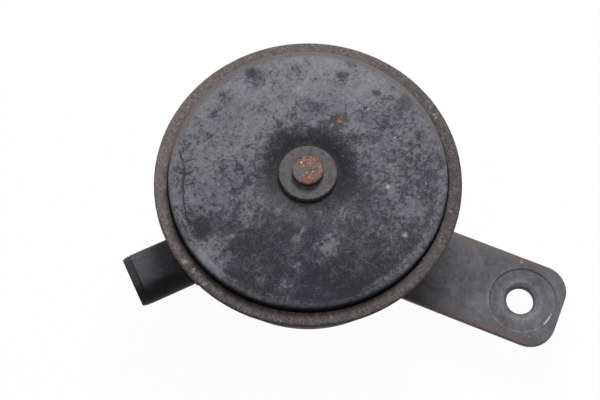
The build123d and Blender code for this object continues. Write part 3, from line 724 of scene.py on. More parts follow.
RUST_SPOTS = (
    (15.9, 11.2, 1.2, 1.0), (12.3, 16.0, 0.6, 0.6), (-3.6, 23.2, 0.9, 0.35), (-27.6, 17.6, 0.9, 0.6),
    (-2.3, -29.0, 0.9, 0.45), (1.2, -32.0, 1.0, 0.5), (-4.9, -24.8, 0.7, 0.45), (-38.6, -7.0, 0.9, 0.5),
)
BROWN_TINGES = (
    (-8.9, 28.0, 4.1, 0.5), (-14.6, 23.8, 2.9, 0.35), (-0.8, 27.8, 2.3, 0.25),
)
PALE_FLECKS = (
    (24.9, 10.9, 0.45, 1.0), (27.8, -0.9, 0.45, 1.0), (29.4, -17.4, 0.4, 1.0), (-27.6, 4.8, 0.4, 0.8),
    (16.6, -29.1, 0.6, 1.0), (18.9, -13.9, 0.7, 0.9), (13.0, 10.6, 0.4, 0.8),
)
# Long scratches: radius and drift in millimetres, middle in degrees, half span in radians, width in millimetres.
DISC_SCRATCHES = ((36.5, 3.3, 166, 0.27, 0.34), (37.3, -16.0, 146, 0.06, 0.30))
FADE = 1.6                              # where a mark has faded out, as a multiple of its reach
LIGHT_SIDE = math.radians(64.5)         # side of the disc that has chalked most
# How far the paint has chalked: at the axis, added on the light side, taken at the far end of the dark side,
# taken beside the washer as painted shade in the dished middle, and added along the rim.
CHALK = 0.365
CHALK_LIGHT_SIDE = 0.375
CHALK_DARK_END = 0.17
CHALK_TAKEN_BY_WASHER_SHADE = 0.66
CHALK_RIM = 0.20

DISC_DULLED = (0.034, 0.035, 0.043, 1)
# painted shade round the washer
DISC_WASHER_SHADE = (0.008, 0.008, 0.010, 1)
DISC_PIT = (0.014, 0.014, 0.017, 1)
DISC_FLECK = (0.42, 0.41, 0.40, 1)
DISC_TINGE = (0.128, 0.112, 0.108, 1)
DISC_RUBBED = (0.14, 0.14, 0.155, 1)
# painted shade on the disc's turned-down edge
DISC_EDGE_SHADE = (0.010, 0.009, 0.010, 1)


def marks_at(spot, marks):
    """Sum of what the marks of one kind add at a spot, in millimetres from the axis."""
    found = 0.0
    for x, y, reach, strength in marks:
        away = math.hypot(spot[0] - x, spot[1] - y) / (FADE * reach)
        if away < 1:
            found += strength * (1 - away ** 2) ** 2
    return found


def write_on(piece, name, worth):
    """Store a number at each point of a piece, worked out from its spot in millimetres from the axis."""
    store = piece.data.attributes.new(name, "FLOAT", "POINT").data
    for index, vertex in enumerate(piece.data.vertices):
        spot = ((vertex.co.x - AXIS.x) / MM, (vertex.co.y - AXIS.y) / MM)
        store[index].value = in_unit(worth(spot))


def towards_light(spot):
    """Place across the disc, from minus one on the dark side to one on the light side."""
    return (spot[0] * math.cos(LIGHT_SIDE) + spot[1] * math.sin(LIGHT_SIDE)) / (DISC_RADIUS / MM)


def chalk_at(spot):
    """How far the paint has chalked: most on the light side, least round the washer, where shade is painted into the
    dished middle.
    """
    reach = math.hypot(*spot)
    across = towards_light(spot)
    dark_end = max(0.0, -0.7 - across) / 0.3
    # Painted shade: less chalk round the washer, strongest towards the light side of the dished middle.
    washer_shading = math.exp(-(max(reach - 8.6, 0.0) / 4.6) ** 2) * (0.85 + 0.7 * across)
    at_rim = in_unit((reach - 37.4) / 0.8) * max(0.0, 0.5 - across)
    level = CHALK + CHALK_LIGHT_SIDE * across - CHALK_DARK_END * dark_end
    level += CHALK_RIM * at_rim - CHALK_TAKEN_BY_WASHER_SHADE * washer_shading
    return level + 0.75 * marks_at(spot, PALE_PATCHES) - 0.8 * marks_at(spot, SOUND_PATCHES)


def tinge_at(spot):
    """Brown that has crept onto the paint: in patches, and from the ring on the light side."""
    rim = in_unit((math.hypot(*spot) - 37.6) / 2.0) * in_unit(towards_light(spot) * 2.0 + 0.2)
    return marks_at(spot, BROWN_TINGES) + rim


def edge_shade_at(spot):
    """Painted shade on the disc's turned-down edge, over the gap at the ring's bore, thickest away from the light
    side.
    """
    return 0.30 + 0.70 * in_unit(0.9 * (0.15 - towards_light(spot)))


def disc_material():
    """Black paint that has chalked in crisp islands, with pits, cracks, scratches and spots of rust."""
    own = colours()
    material, tree, shader, where = new_material("worn_disc_paint", level=0.10)
    chalk = mark(tree, "chalk")
    rust = mark(tree, "rust")
    tinge = mark(tree, "tinge")
    fleck = mark(tree, "fleck")
    polar = round_axis(tree, where)
    broad = cloud(tree, where, 150.0, 5.0, 0.6)
    mottle = cloud(tree, where, 430.0, 7.0, 0.66, 0.5)
    speckle = cloud(tree, where, 1100.0, 6.0, 0.72, 0.3)
    fine = cloud(tree, where, 2600.0, 3.0, 0.7)
    grit = lay_grit(tree, where, 1250.0, 0.07, 0.12)
    lively = total(tree, 0.66, product(tree, chalk, 0.80))
    drift = total(
        tree, swing(tree, broad, 0.9), swing(tree, mottle, 1.6), swing(tree, speckle, 1.8), swing(tree, fine, 1.0))
    hollow = spread(tree, cloud(tree, where, 260.0, 6.0, 0.7, 0.6), 0.36, 0.50, 0.16, 0.0)
    soft = total(tree, chalk, product(tree, drift, lively), product(tree, hollow, -1.0))
    pattern = total(tree, product(tree, mottle, 0.45), product(tree, speckle, 0.55))
    zone = product(
        tree, spread(tree, polar["Reach"], 23.0 * MM, 26.0 * MM), spread(tree, polar["Reach"], 36.5 * MM, 34.5 * MM),
        spread(tree, cloud(tree, where, 70.0, 3.0), 0.44, 0.56))
    bend = calc(tree, "SUBTRACT", cloud(tree, where, 210.0, 3.0, 0.55, 2.2), 0.5)
    ripple = total(tree, near(tree, bend, 0.0, 0.006, 0.022), near(tree, bend, 0.028, 0.006, 0.020, -0.9))
    wiggle = product(tree, ripple, zone)
    island_from = spread(tree, total(tree, chalk, swing(tree, broad, 0.5)), 0.0, 0.8, 0.63, 0.38)
    island = spread(tree, pattern, calc(tree, "SUBTRACT", island_from, 0.05), total(tree, island_from, 0.05))
    laid = product(tree, island, total(tree, 0.13, product(tree, chalk, 0.22)))
    film = held(tree, total(tree, product(tree, soft, 0.50), laid, product(tree, wiggle, 0.20), -0.002))
    hue = spread(tree, cloud(tree, where, 60.0, 3.0), 0.4, 0.6)
    pale = mix(tree, hue, opaque(own.chalk), opaque(own.chalk_cold))
    # Painted shade: the sound paint is made darker round the washer, where the middle is dished.
    washer_shade = spread(tree, polar["Reach"], 8.5 * MM, 15.0 * MM, 0.85, 0.0)
    sound = mix(tree, spread(tree, fine, 0.35, 0.65), opaque(own.paint), DISC_DULLED)
    sound = mix(tree, washer_shade, sound, DISC_WASHER_SHADE)
    paint = mix(tree, film, sound, pale)
    crack = product(
        tree, near(tree, cloud(tree, where, 260.0, 6.0, 0.6, 1.2), 0.5, 0.004, 0.016),
        spread(tree, cloud(tree, where, 120.0), 0.5, 0.6))
    fibres = product(
        tree, near(tree, cloud(tree, where, 620.0, 5.0, 0.62, 1.5), 0.5, 0.006, 0.03),
        spread(tree, cloud(tree, where, 95.0, 3.0), 0.48, 0.60), spread(tree, polar["Reach"], 20.0 * MM, 30.0 * MM))
    pits = most(tree, product(tree, grit["Pits"], 0.6), product(tree, crack, 0.55), product(tree, fibres, 0.5))
    scratches = product(tree, most(tree, *(
        place(tree, "Scratch", {
            "Vector": where, "Radius": radius * MM, "Drift": drift * MM, "Middle": math.radians(middle),
            "Span": span, "Width": width * MM})["Mask"]
        for radius, drift, middle, span, width in DISC_SCRATCHES)), 0.8)
    sunken = most(tree, pits, scratches)
    marked = mix(tree, sunken, paint, DISC_PIT)
    crumbs = spread(tree, total(tree, fleck, swing(tree, speckle, 0.8)), 0.45, 0.62)
    specks = most(tree, product(tree, grit["Specks"], 0.45), product(tree, crumbs, 0.85))
    flecked = mix(tree, specks, marked, DISC_FLECK)
    crept = spread(tree, total(tree, tinge, swing(tree, mottle, 0.9)), 0.15, 1.0)
    tinged = mix(tree, product(tree, crept, spread(tree, tinge, 0.0, 0.1), 0.9), flecked, DISC_TINGE)
    tones = lay_rust(tree, where, 900.0, opaque(own.rust_dark), opaque(own.rust_bright))
    rusty = spread(tree, total(tree, rust, swing(tree, mottle, 1.2), swing(tree, speckle, 1.2)), 0.25, 0.85)
    rusty = product(tree, rusty, spread(tree, rust, 0.02, 0.15))
    stained = mix(tree, product(tree, rusty, 0.85), tinged, tones["Colour"])
    rim_wear = product(
        tree, spread(tree, polar["Reach"], DISC_RADIUS - 1.3 * MM, DISC_RADIUS - 1.0 * MM),
        spread(tree, cloud(tree, where, 700.0), 0.35, 0.6))
    rubbed = mix(tree, product(tree, rim_wear, 0.35), stained, DISC_RUBBED)
    # Painted shade: below its top the turned-down edge is made near black, most away from the light side.
    edge_top = FRONT + DISC_EDGE_HEIGHT
    upper = spread(tree, polar["Height"], edge_top - 0.62 * MM, edge_top - 0.20 * MM)
    colour = mix(tree, product(tree, inverse(tree, upper), mark(tree, "soot")), rubbed, DISC_EDGE_SHADE)
    roughness = spread(tree, film, 0.0, 0.8, 0.42, 0.68)
    height = total(
        tree, product(tree, island, 0.2), product(tree, mottle, 0.5), product(tree, speckle, 0.5),
        product(tree, wiggle, 0.7), product(tree, sunken, -0.8))
    finish_material(tree, shader, colour, roughness, height, 0.09 * MM, 0.8)
    return material


class HORN_OT_tone_disc(bpy.types.Operator):
    """Model the tone disc with its weathered paint"""
    bl_idname = "horn.tone_disc"
    bl_label = "Tone disc"

    def execute(self, context):
        disc = spin_piece("pressed_disc", disc_profile(), sizes().spin_steps)
        roughen(disc, DENT_DEPTH, DENT_WIDTH, detail=1)
        write_on(disc, "chalk", chalk_at)
        write_on(disc, "rust", lambda spot: marks_at(spot, RUST_SPOTS))
        write_on(disc, "tinge", tinge_at)
        write_on(disc, "fleck", lambda spot: marks_at(spot, PALE_FLECKS))
        write_on(disc, "soot", edge_shade_at)
        hand_over(disc, disc_material(), "disc_paint", "armature_group", "tone_disc")
        return {"FINISHED"}


# ---------------------------------------------------------------- crimp ring

# Clusters of pale chips: place from the axis and reach, in millimetres, and strength.
RING_CHIPS = (
    (-42.6, -8.2, 1.2, 1.0), (-41.3, -11.8, 0.9, 1.0), (-40.2, -17.0, 1.4, 0.8), (42.5, 11.3, 0.9, 0.9),
    (42.7, 1.6, 1.2, 0.9), (14.2, -37.8, 0.9, 1.0), (18.7, -36.6, 0.9, 0.9), (-16.9, 40.6, 1.4, 0.4),
    (-41.8, 8.0, 1.7, 0.35), (-12.8, -41.1, 0.9, 0.7), (31.9, -31.8, 1.2, 0.5), (-38.4, -20.5, 1.7, 0.4),
    (-33.0, -28.6, 2.0, 0.45), (-25.5, -35.0, 2.2, 0.42), (40.5, -16.0, 1.6, 0.4), (8.0, -42.4, 1.8, 0.4),
    (36.0, 22.5, 1.2, 0.5), (-43.0, 3.0, 1.6, 0.4),
)
# How much darker the ring is made, and how much painted shadow of the disc's edge lies along its bore, by the angle
# from the X axis in degrees.
RING_DARKER_BY_ANGLE = (
    (-180, 0.24), (-155, 0.70), (-115, 0.54), (-70, 0.58), (-30, 0.80), (10, 0.70), (64, 0.34), (115, 0.28),
    (154, 0.0), (180, 0.20))
RING_BORE_SHADOW = (
    (-180, 0.90), (-150, 0.85), (-120, 0.30), (-60, 0.28), (-25, 0.40), (65, 0.18), (130, 0.25), (165, 0.60),
    (180, 0.90))
RING_FACE = 4.0 * MM                    # from its rim to its bore
RING_TAPER = 25                         # slant of its side, in degrees
RING_GRAIN = 0.9 * MM
RING_WARM = (0.240, 0.188, 0.172, 1)
RING_OUTER = (0.188, 0.172, 0.174, 1)
RING_DARKER_TONE = (0.030, 0.030, 0.035, 1)
RING_SHADE = (0.026, 0.022, 0.022, 1)
RING_SPARKLE = (0.36, 0.345, 0.355, 1)
RING_PIT = (0.020, 0.017, 0.017, 1)
RING_CHIP = (0.37, 0.30, 0.275, 1)
# black for pits, and for painted shadow along the ring's bore
GRIME_AND_SHADOW = (0.020, 0.018, 0.018, 1)


def ring_profile():
    """Closed section of the rolled ring, a C that opens inwards and narrows below its outer edge."""
    wall = 0.8 * MM
    bore = RIM - RING_FACE
    edge = 0.9 * MM
    step = 0.35 * MM
    lip = 0.35 * MM
    low = RING_LOW.z
    inner = RIM - 1.05 * MM
    outer_top = arc(RIM - edge, FRONT - edge, edge, 90, -RING_TAPER, 9)
    lip_round = arc(bore + lip, FRONT - lip, lip, 180, 90, 4)
    top = line(lip_round[-1], outer_top[0], step)[1:]
    foot = outer_top[-1][0] - (outer_top[-1][1] - low) * math.tan(math.radians(RING_TAPER))
    side = line(outer_top[-1], (foot, low), step)[1:]
    under = line((foot, low), (bore, low), step)
    inside = [(bore, low), (bore, low + wall), (inner, low + wall), (inner, FRONT - wall), (bore, FRONT - wall)]
    return lip_round + top + outer_top + side + under + inside + [lip_round[0]]


def ring_material():
    """Old brown scale with ragged pale grains, dark pits and bright chips, darker round some sides, with painted
    shadow of the disc along its bore.
    """
    own = colours()
    material, tree, shader, where = new_material("gritty_scale", level=0.15)
    polar = round_axis(tree, where)
    chips = mark(tree, "chips")
    dirt = mark(tree, "dirt")
    grit = lay_grit(tree, where, 1300.0, 0.15, 0.20)
    coarse = lay_grit(tree, where, 600.0, 0.08, 0.14)
    patch = lay_blotches(tree, where, 150.0, 0.5, 0.14, 6.0)
    warm = mix(tree, patch, opaque(own.scale_brown), RING_WARM)
    outer = spread(tree, polar["Reach"], RIM - 1.9 * MM, RIM - 0.9 * MM)
    mixed = mix(tree, product(tree, outer, 0.6), warm, RING_OUTER)
    # The ring is made darker round some of its sides, as the table of angles gives.
    base = mix(tree, mark(tree, "dull"), mixed, RING_DARKER_TONE)
    shade = mix(tree, 0.72, base, RING_SHADE)
    grained = mix(tree, grit["Grain"], shade, mix(tree, 0.30, base, opaque(own.scale_pale)))
    toned = mix(tree, spread(tree, coarse["Grain"], 0.2, 0.8, 0.0, 0.45), grained, shade)
    specked = mix(tree, product(tree, grit["Specks"], 0.9), toned, opaque(own.scale_pale))
    sparkle = spread(tree, cloud(tree, where, 850.0, 4.0, 0.75), 0.60, 0.70)
    specked = mix(tree, product(tree, sparkle, 0.75), specked, RING_SPARKLE)
    pits = most(tree, grit["Pits"], coarse["Pits"])
    pitted = mix(tree, product(tree, pits, 0.8), specked, RING_PIT)
    ragged = spread(tree, total(tree, chips, swing(tree, grit["Grain"], 1.2)), 0.70, 0.85)
    chipped = mix(tree, product(tree, ragged, 0.85), pitted, RING_CHIP)
    lying = total(tree, dirt, swing(tree, coarse["Grain"], 0.5), swing(tree, grit["Grain"], 0.3))
    shadowed = product(tree, spread(tree, lying, 0.05, 0.95), spread(tree, dirt, 0.0, 0.08))
    # Painted shadow: the ring is made near black along its bore, where the disc's edge shades it.
    colour = mix(tree, product(tree, shadowed, 0.85), chipped, GRIME_AND_SHADOW)
    roughness = spread(tree, grit["Height"], 0.2, 0.9, 0.62, 0.9)
    height = total(tree, grit["Height"], coarse["Height"], product(tree, ragged, 0.5))
    finish_material(tree, shader, colour, roughness, height, 0.11 * MM, 0.8)
    return material


def round_the_axis(spot, table):
    """A number at a spot, between those that a table gives by angle."""
    turn = math.degrees(math.atan2(spot[1], spot[0]))
    for (start, low), (end, high) in zip(table, table[1:]):
        if turn <= end:
            return low + (high - low) * smooth((turn - start) / (end - start))
    return table[-1][1]


def bore_shadow_at(spot):
    """Painted shadow of the disc's edge on the ring, along its bore."""
    side = round_the_axis(spot, RING_BORE_SHADOW)
    depth = (math.hypot(*spot) - (RIM - RING_FACE) / MM) / (0.5 + 1.4 * side)
    return side * math.exp(-max(depth, 0.0) ** 2)


class HORN_OT_crimp_ring(bpy.types.Operator):
    """Model the rolled ring with its gritty scale"""
    bl_idname = "horn.crimp_ring"
    bl_label = "Crimp ring"

    def execute(self, context):
        ring = spin_piece("rolled_ring", ring_profile(), 2 * sizes().spin_steps)
        roughen(ring, sizes().grit_height, RING_GRAIN, detail=3)
        write_on(ring, "chips", lambda spot: marks_at(spot, RING_CHIPS))
        write_on(ring, "dirt", bore_shadow_at)
        write_on(ring, "dull", lambda spot: round_the_axis(spot, RING_DARKER_BY_ANGLE))
        hand_over(ring, ring_material(), "rusty_steel", "horn_body", "crimp_ring", angle=60)
        return {"FINISHED"}


# ---------------------------------------------------------------- washer and stem head

# The peened end of the stem: rust lies in three sectors between grey creases, with crumbs and a pit.
HEAD_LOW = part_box("front_washer")[1].z
HEAD_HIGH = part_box("armature")[1].z
HEAD_RADIUS = 4.5 * MM
HEAD_EDGE = 0.45 * MM
RUST_SECTORS = ((96, 52, 1.0), (0, 34, 0.75), (-92, 38, 1.0))       # middle and half width in degrees, strength
HEAD_CRUMBS = (
    (-1.9, 2.3, 0.34, 1.0), (1.25, -0.65, 0.30, 1.0), (-0.6, 2.7, 0.2, 0.6), (-0.2, -1.2, 0.25, 0.6),
    (2.4, -1.0, 0.15, 0.6), (0.5, -2.4, 0.18, 0.7), (0.9, -1.5, 0.15, 0.7), (0.7, 2.4, 0.2, 0.5),
)
HEAD_PITS = ((0.80, -0.20, 0.55, 1.0), (0.9, -0.45, 0.2, 0.7), (-0.9, -0.9, 0.35, 0.5))
HEAD_CREASES = (38, 128, 222, -62)      # directions of the creases from the middle, in degrees
CREASE_TURN = math.radians(-25.5)       # how far creases, sectors, crumbs and pits are turned from the X axis
CREASE_DEPTH = 0.10 * MM
CREASE_WIDTH = 0.35 * MM
HEAD_STEPS = 128
HEAD_SAG = 0.12 * MM                    # how far the end's face falls away at its edge, and lies below its top
HEAD_BLOWS = ((0.08 * MM, 700.0), (0.04 * MM, 2000.0))              # depth and grain of the hammer marks

WASHER_DARK = (0.066, 0.064, 0.070, 1)
WASHER_PALE = (0.134, 0.125, 0.128, 1)
WASHER_WARM = (0.150, 0.098, 0.088, 1)
WASHER_SHADE = (0.03, 0.03, 0.03, 1)
HEAD_RUST_DARK = (0.058, 0.028, 0.024, 1)
HEAD_RUST_BRIGHT = (0.40, 0.175, 0.125, 1)
HEAD_RUST_PALE = (0.40, 0.27, 0.21, 1)
HEAD_GREY_DARK = (0.088, 0.083, 0.087, 1)
HEAD_GREY_PALE = (0.155, 0.145, 0.146, 1)
HEAD_CRAZED = (0.050, 0.028, 0.026, 1)
# painted shade on the lower part of the end's side
HEAD_SIDE_SHADE = (0.045, 0.026, 0.022, 1)
HEAD_PITTED = (0.030, 0.018, 0.014, 1)
HEAD_CRUMB = (0.72, 0.60, 0.44, 1)
HEAD_PIT = (0.045, 0.036, 0.020, 1)


def washer_material():
    """Grey-brown steel with a dull bloom."""
    own = colours()
    material, tree, shader, where = new_material("dull_washer", level=0.15)
    polar = round_axis(tree, where)
    grit = lay_grit(tree, where, 1500.0, 0.10, 0.20)
    patch = cloud(tree, where, 600.0, 6.0, 0.72, 0.4)
    warm = cloud(tree, where, 900.0, 4.0, 0.62)
    base = mix(tree, spread(tree, patch, 0.34, 0.60), WASHER_DARK, WASHER_PALE)
    base = mix(tree, spread(tree, warm, 0.54, 0.66, 0.0, 0.55), base, WASHER_WARM)
    grained = mix(tree, grit["Grain"], mix(tree, 0.45, base, WASHER_SHADE), base)
    rim = spread(tree, polar["Reach"], 7.3 * MM, 8.2 * MM)
    flaked = product(tree, rim, spread(tree, cloud(tree, where, 1300.0, 4.0, 0.65), 0.56, 0.66))
    specks = most(tree, product(tree, grit["Specks"], 0.6), product(tree, flaked, 0.3))
    specked = mix(tree, specks, grained, opaque(own.scale_pale))
    colour = mix(tree, product(tree, grit["Pits"], 0.5), specked, GRIME_AND_SHADOW)
    roughness = spread(tree, grit["Height"], 0.2, 0.9, 0.5, 0.8)
    finish_material(tree, shader, colour, roughness, grit["Height"], 0.04 * MM, 0.6)
    return material


def stem_material():
    """Peened iron end: rust between grey creases, with pale crumbs in them, and painted shade on the lower part of
    its side.
    """
    material, tree, shader, where = new_material("peened_iron", level=0.2)
    rust = mark(tree, "rust")
    pit = mark(tree, "pit")
    crumb = mark(tree, "crumb")
    polar = round_axis(tree, where)
    grit = lay_grit(tree, where, 1900.0, 0.10, 0.22)
    tones = lay_rust(tree, where, 1100.0, HEAD_RUST_DARK, HEAD_RUST_BRIGHT)
    broad = cloud(tree, where, 700.0, 5.0, 0.65)
    fine = cloud(tree, where, 2400.0, 5.0, 0.7)
    grey = mix(tree, spread(tree, fine, 0.35, 0.65), HEAD_GREY_DARK, HEAD_GREY_PALE)
    ragged = total(tree, rust, swing(tree, broad, 1.8), swing(tree, fine, 1.0))
    rusty = spread(tree, ragged, 0.20, 0.78)
    # Painted shade: the lower part of the end's side is made dark rust-brown, where it stands in shade above the
    # washer.
    side = spread(tree, polar["Height"], HEAD_HIGH - 1.0 * MM, HEAD_HIGH - 0.35 * MM)
    powdery = spread(tree, cloud(tree, where, 1500.0, 5.0, 0.7), 0.54, 0.68)
    rust_tone = mix(tree, powdery, tones["Colour"], HEAD_RUST_PALE)
    crazed = spread(tree, cloud(tree, where, 1700.0, 5.0, 0.75), 0.40, 0.52, 0.75, 0.0)
    base = mix(tree, product(tree, rusty, 0.88), grey, mix(tree, crazed, rust_tone, HEAD_CRAZED))
    base = mix(tree, side, HEAD_SIDE_SHADE, base)
    pitted = mix(tree, product(tree, grit["Pits"], 0.55), base, HEAD_PITTED)
    crumbs = spread(tree, total(tree, crumb, swing(tree, fine, 1.6)), 0.58, 0.74)
    crumbed = mix(tree, product(tree, crumbs, 0.9), pitted, HEAD_CRUMB)
    colour = mix(tree, product(tree, spread(tree, pit, 0.2, 0.9), 0.85), crumbed, HEAD_PIT)
    roughness = spread(tree, tones["Height"], 0.3, 0.7, 0.5, 0.8)
    height = total(tree, product(tree, tones["Height"], 0.6), grit["Height"], product(tree, crumbs, 0.5))
    finish_material(tree, shader, colour, roughness, height, 0.09 * MM, 0.9)
    return material


def head_rust(spot):
    """Rust in sectors round the stem's end, with the grey left side free of it."""
    turn = math.degrees(math.atan2(spot[1], spot[0])) - math.degrees(CREASE_TURN)
    reach = math.hypot(*spot)
    level = 0.0
    for middle, half, strength in RUST_SECTORS:
        away = abs((turn - middle + 180) % 360 - 180)
        level = max(level, strength * in_unit((half - away) / 30 + 0.5))
    return level * min(1.0, reach)


def turned(marks, angle):
    """Marks moved round the axis by an angle."""
    cosine, sine = math.cos(angle), math.sin(angle)
    return [(x * cosine - y * sine, x * sine + y * cosine, reach, strength) for x, y, reach, strength in marks]


def head_profile():
    """Closed section of the stem's end above the washer."""
    top = line((0.0, HEAD_HIGH), (HEAD_RADIUS - HEAD_EDGE, HEAD_HIGH), 0.11 * MM)[1:]
    corner = arc(HEAD_RADIUS - HEAD_EDGE, HEAD_HIGH - HEAD_EDGE, HEAD_EDGE, 90, 0, 5)
    side = line(corner[-1], (HEAD_RADIUS, HEAD_LOW), 0.15 * MM)[1:]
    return [(0.0, HEAD_HIGH)] + top + corner + side + [(HEAD_RADIUS, HEAD_LOW), (0.0, HEAD_LOW)]


def dent_head(piece):
    """Hammer marks and creases in the stem's end, sunk below its top."""
    creases = [math.radians(angle) + CREASE_TURN for angle in HEAD_CREASES]
    for vertex in piece.data.vertices:
        x, y = vertex.co.x - AXIS.x, vertex.co.y - AXIS.y
        reach = math.hypot(x, y)
        if vertex.co.z < HEAD_HIGH - HEAD_EDGE or reach < 1e-6:
            continue
        turn = math.atan2(y, x)
        sunk = 0.0
        for crease in creases:
            along = reach * math.cos(turn - crease)
            across = abs(reach * math.sin(turn - crease))
            if along > 0:
                sunk = max(sunk, CREASE_DEPTH * math.exp(-(across / CREASE_WIDTH) ** 2) * min(1.0, along / MM))
        sunk += HEAD_SAG * (1 + (reach / HEAD_RADIUS) ** 2)
        for depth, grain in HEAD_BLOWS:
            sunk += depth * noise.noise(vertex.co * grain)
        vertex.co.z -= sunk


class HORN_OT_washer_and_stem(bpy.types.Operator):
    """Finish the front washer and model the peened end of the stem on it"""
    bl_idname = "horn.washer_and_stem"
    bl_label = "Washer and stem"

    def execute(self, context):
        paint_nodes(washer_material(), "front_washer")
        head = spin_piece("peened_end", head_profile(), HEAD_STEPS)
        dent_head(head)
        write_on(head, "rust", head_rust)
        write_on(head, "crumb", lambda spot: marks_at(spot, turned(HEAD_CRUMBS, CREASE_TURN)))
        write_on(head, "pit", lambda spot: marks_at(spot, turned(HEAD_PITS, CREASE_TURN)))
        stem = merged_copy("armature_stem", "armature")
        edit_all()
        bpy.ops.mesh.bisect(
            plane_co=(AXIS.x, AXIS.y, HEAD_LOW), plane_no=(0, 0, 1), use_fill=True, clear_outer=True)
        bpy.ops.object.mode_set(mode="OBJECT")
        hand_over(head, stem_material(), "magnet_iron", "armature_group", "armature", angle=50)
        hand_over(stem, zinc_material("stem_iron"), "magnet_iron", "armature_group", "armature", angle=30)
        return {"FINISHED"}


# ---------------------------------------------------------------- strap bracket

# Chips in the strap's paint: place from the bolt hole and reach, in millimetres.
STRAP_CHIPS = (
    (6.4, 10.7, 0.9), (2.1, 10.5, 0.4), (-6.5, 6.7, 0.5), (-11.1, -0.5, 0.5), (-3.5, -11.3, 0.5), (11.8, -2.1, 0.35),
    (1.0, 16.5, 0.4), (-9.8, 4.0, 0.35),
)
FUNNEL_RIM = 6.05 * MM                  # where the funnel meets the seat, from the middle of the bolt hole
SEAT_RIM = 10.1 * MM                    # where the coined seat ends
STRAP_RUST_DARK = (0.060, 0.034, 0.026, 1)
STRAP_RUST_BRIGHT = (0.20, 0.120, 0.088, 1)
STRAP_BROWNED = (0.118, 0.098, 0.094, 1)
STRAP_CHIP = (0.34, 0.33, 0.33, 1)
STRAP_PIT = (0.03, 0.03, 0.032, 1)
STRAP_SEAT = (0.21, 0.21, 0.225, 1)
# painted shade inside the funnel
STRAP_FUNNEL_SHADE = (0.035, 0.034, 0.038, 1)
# pale lines: worn paint with painted highlight on the funnel's rim, and painted highlight on the seat's edge
STRAP_LIP_WEAR_AND_HIGHLIGHT = (0.22, 0.22, 0.235, 1)
STRAP_SEAT_EDGE_HIGHLIGHT = (0.25, 0.25, 0.265, 1)
STRAP_GLINT = (0.70, 0.70, 0.72, 1)
STRAP_BARE = (0.23, 0.22, 0.22, 1)


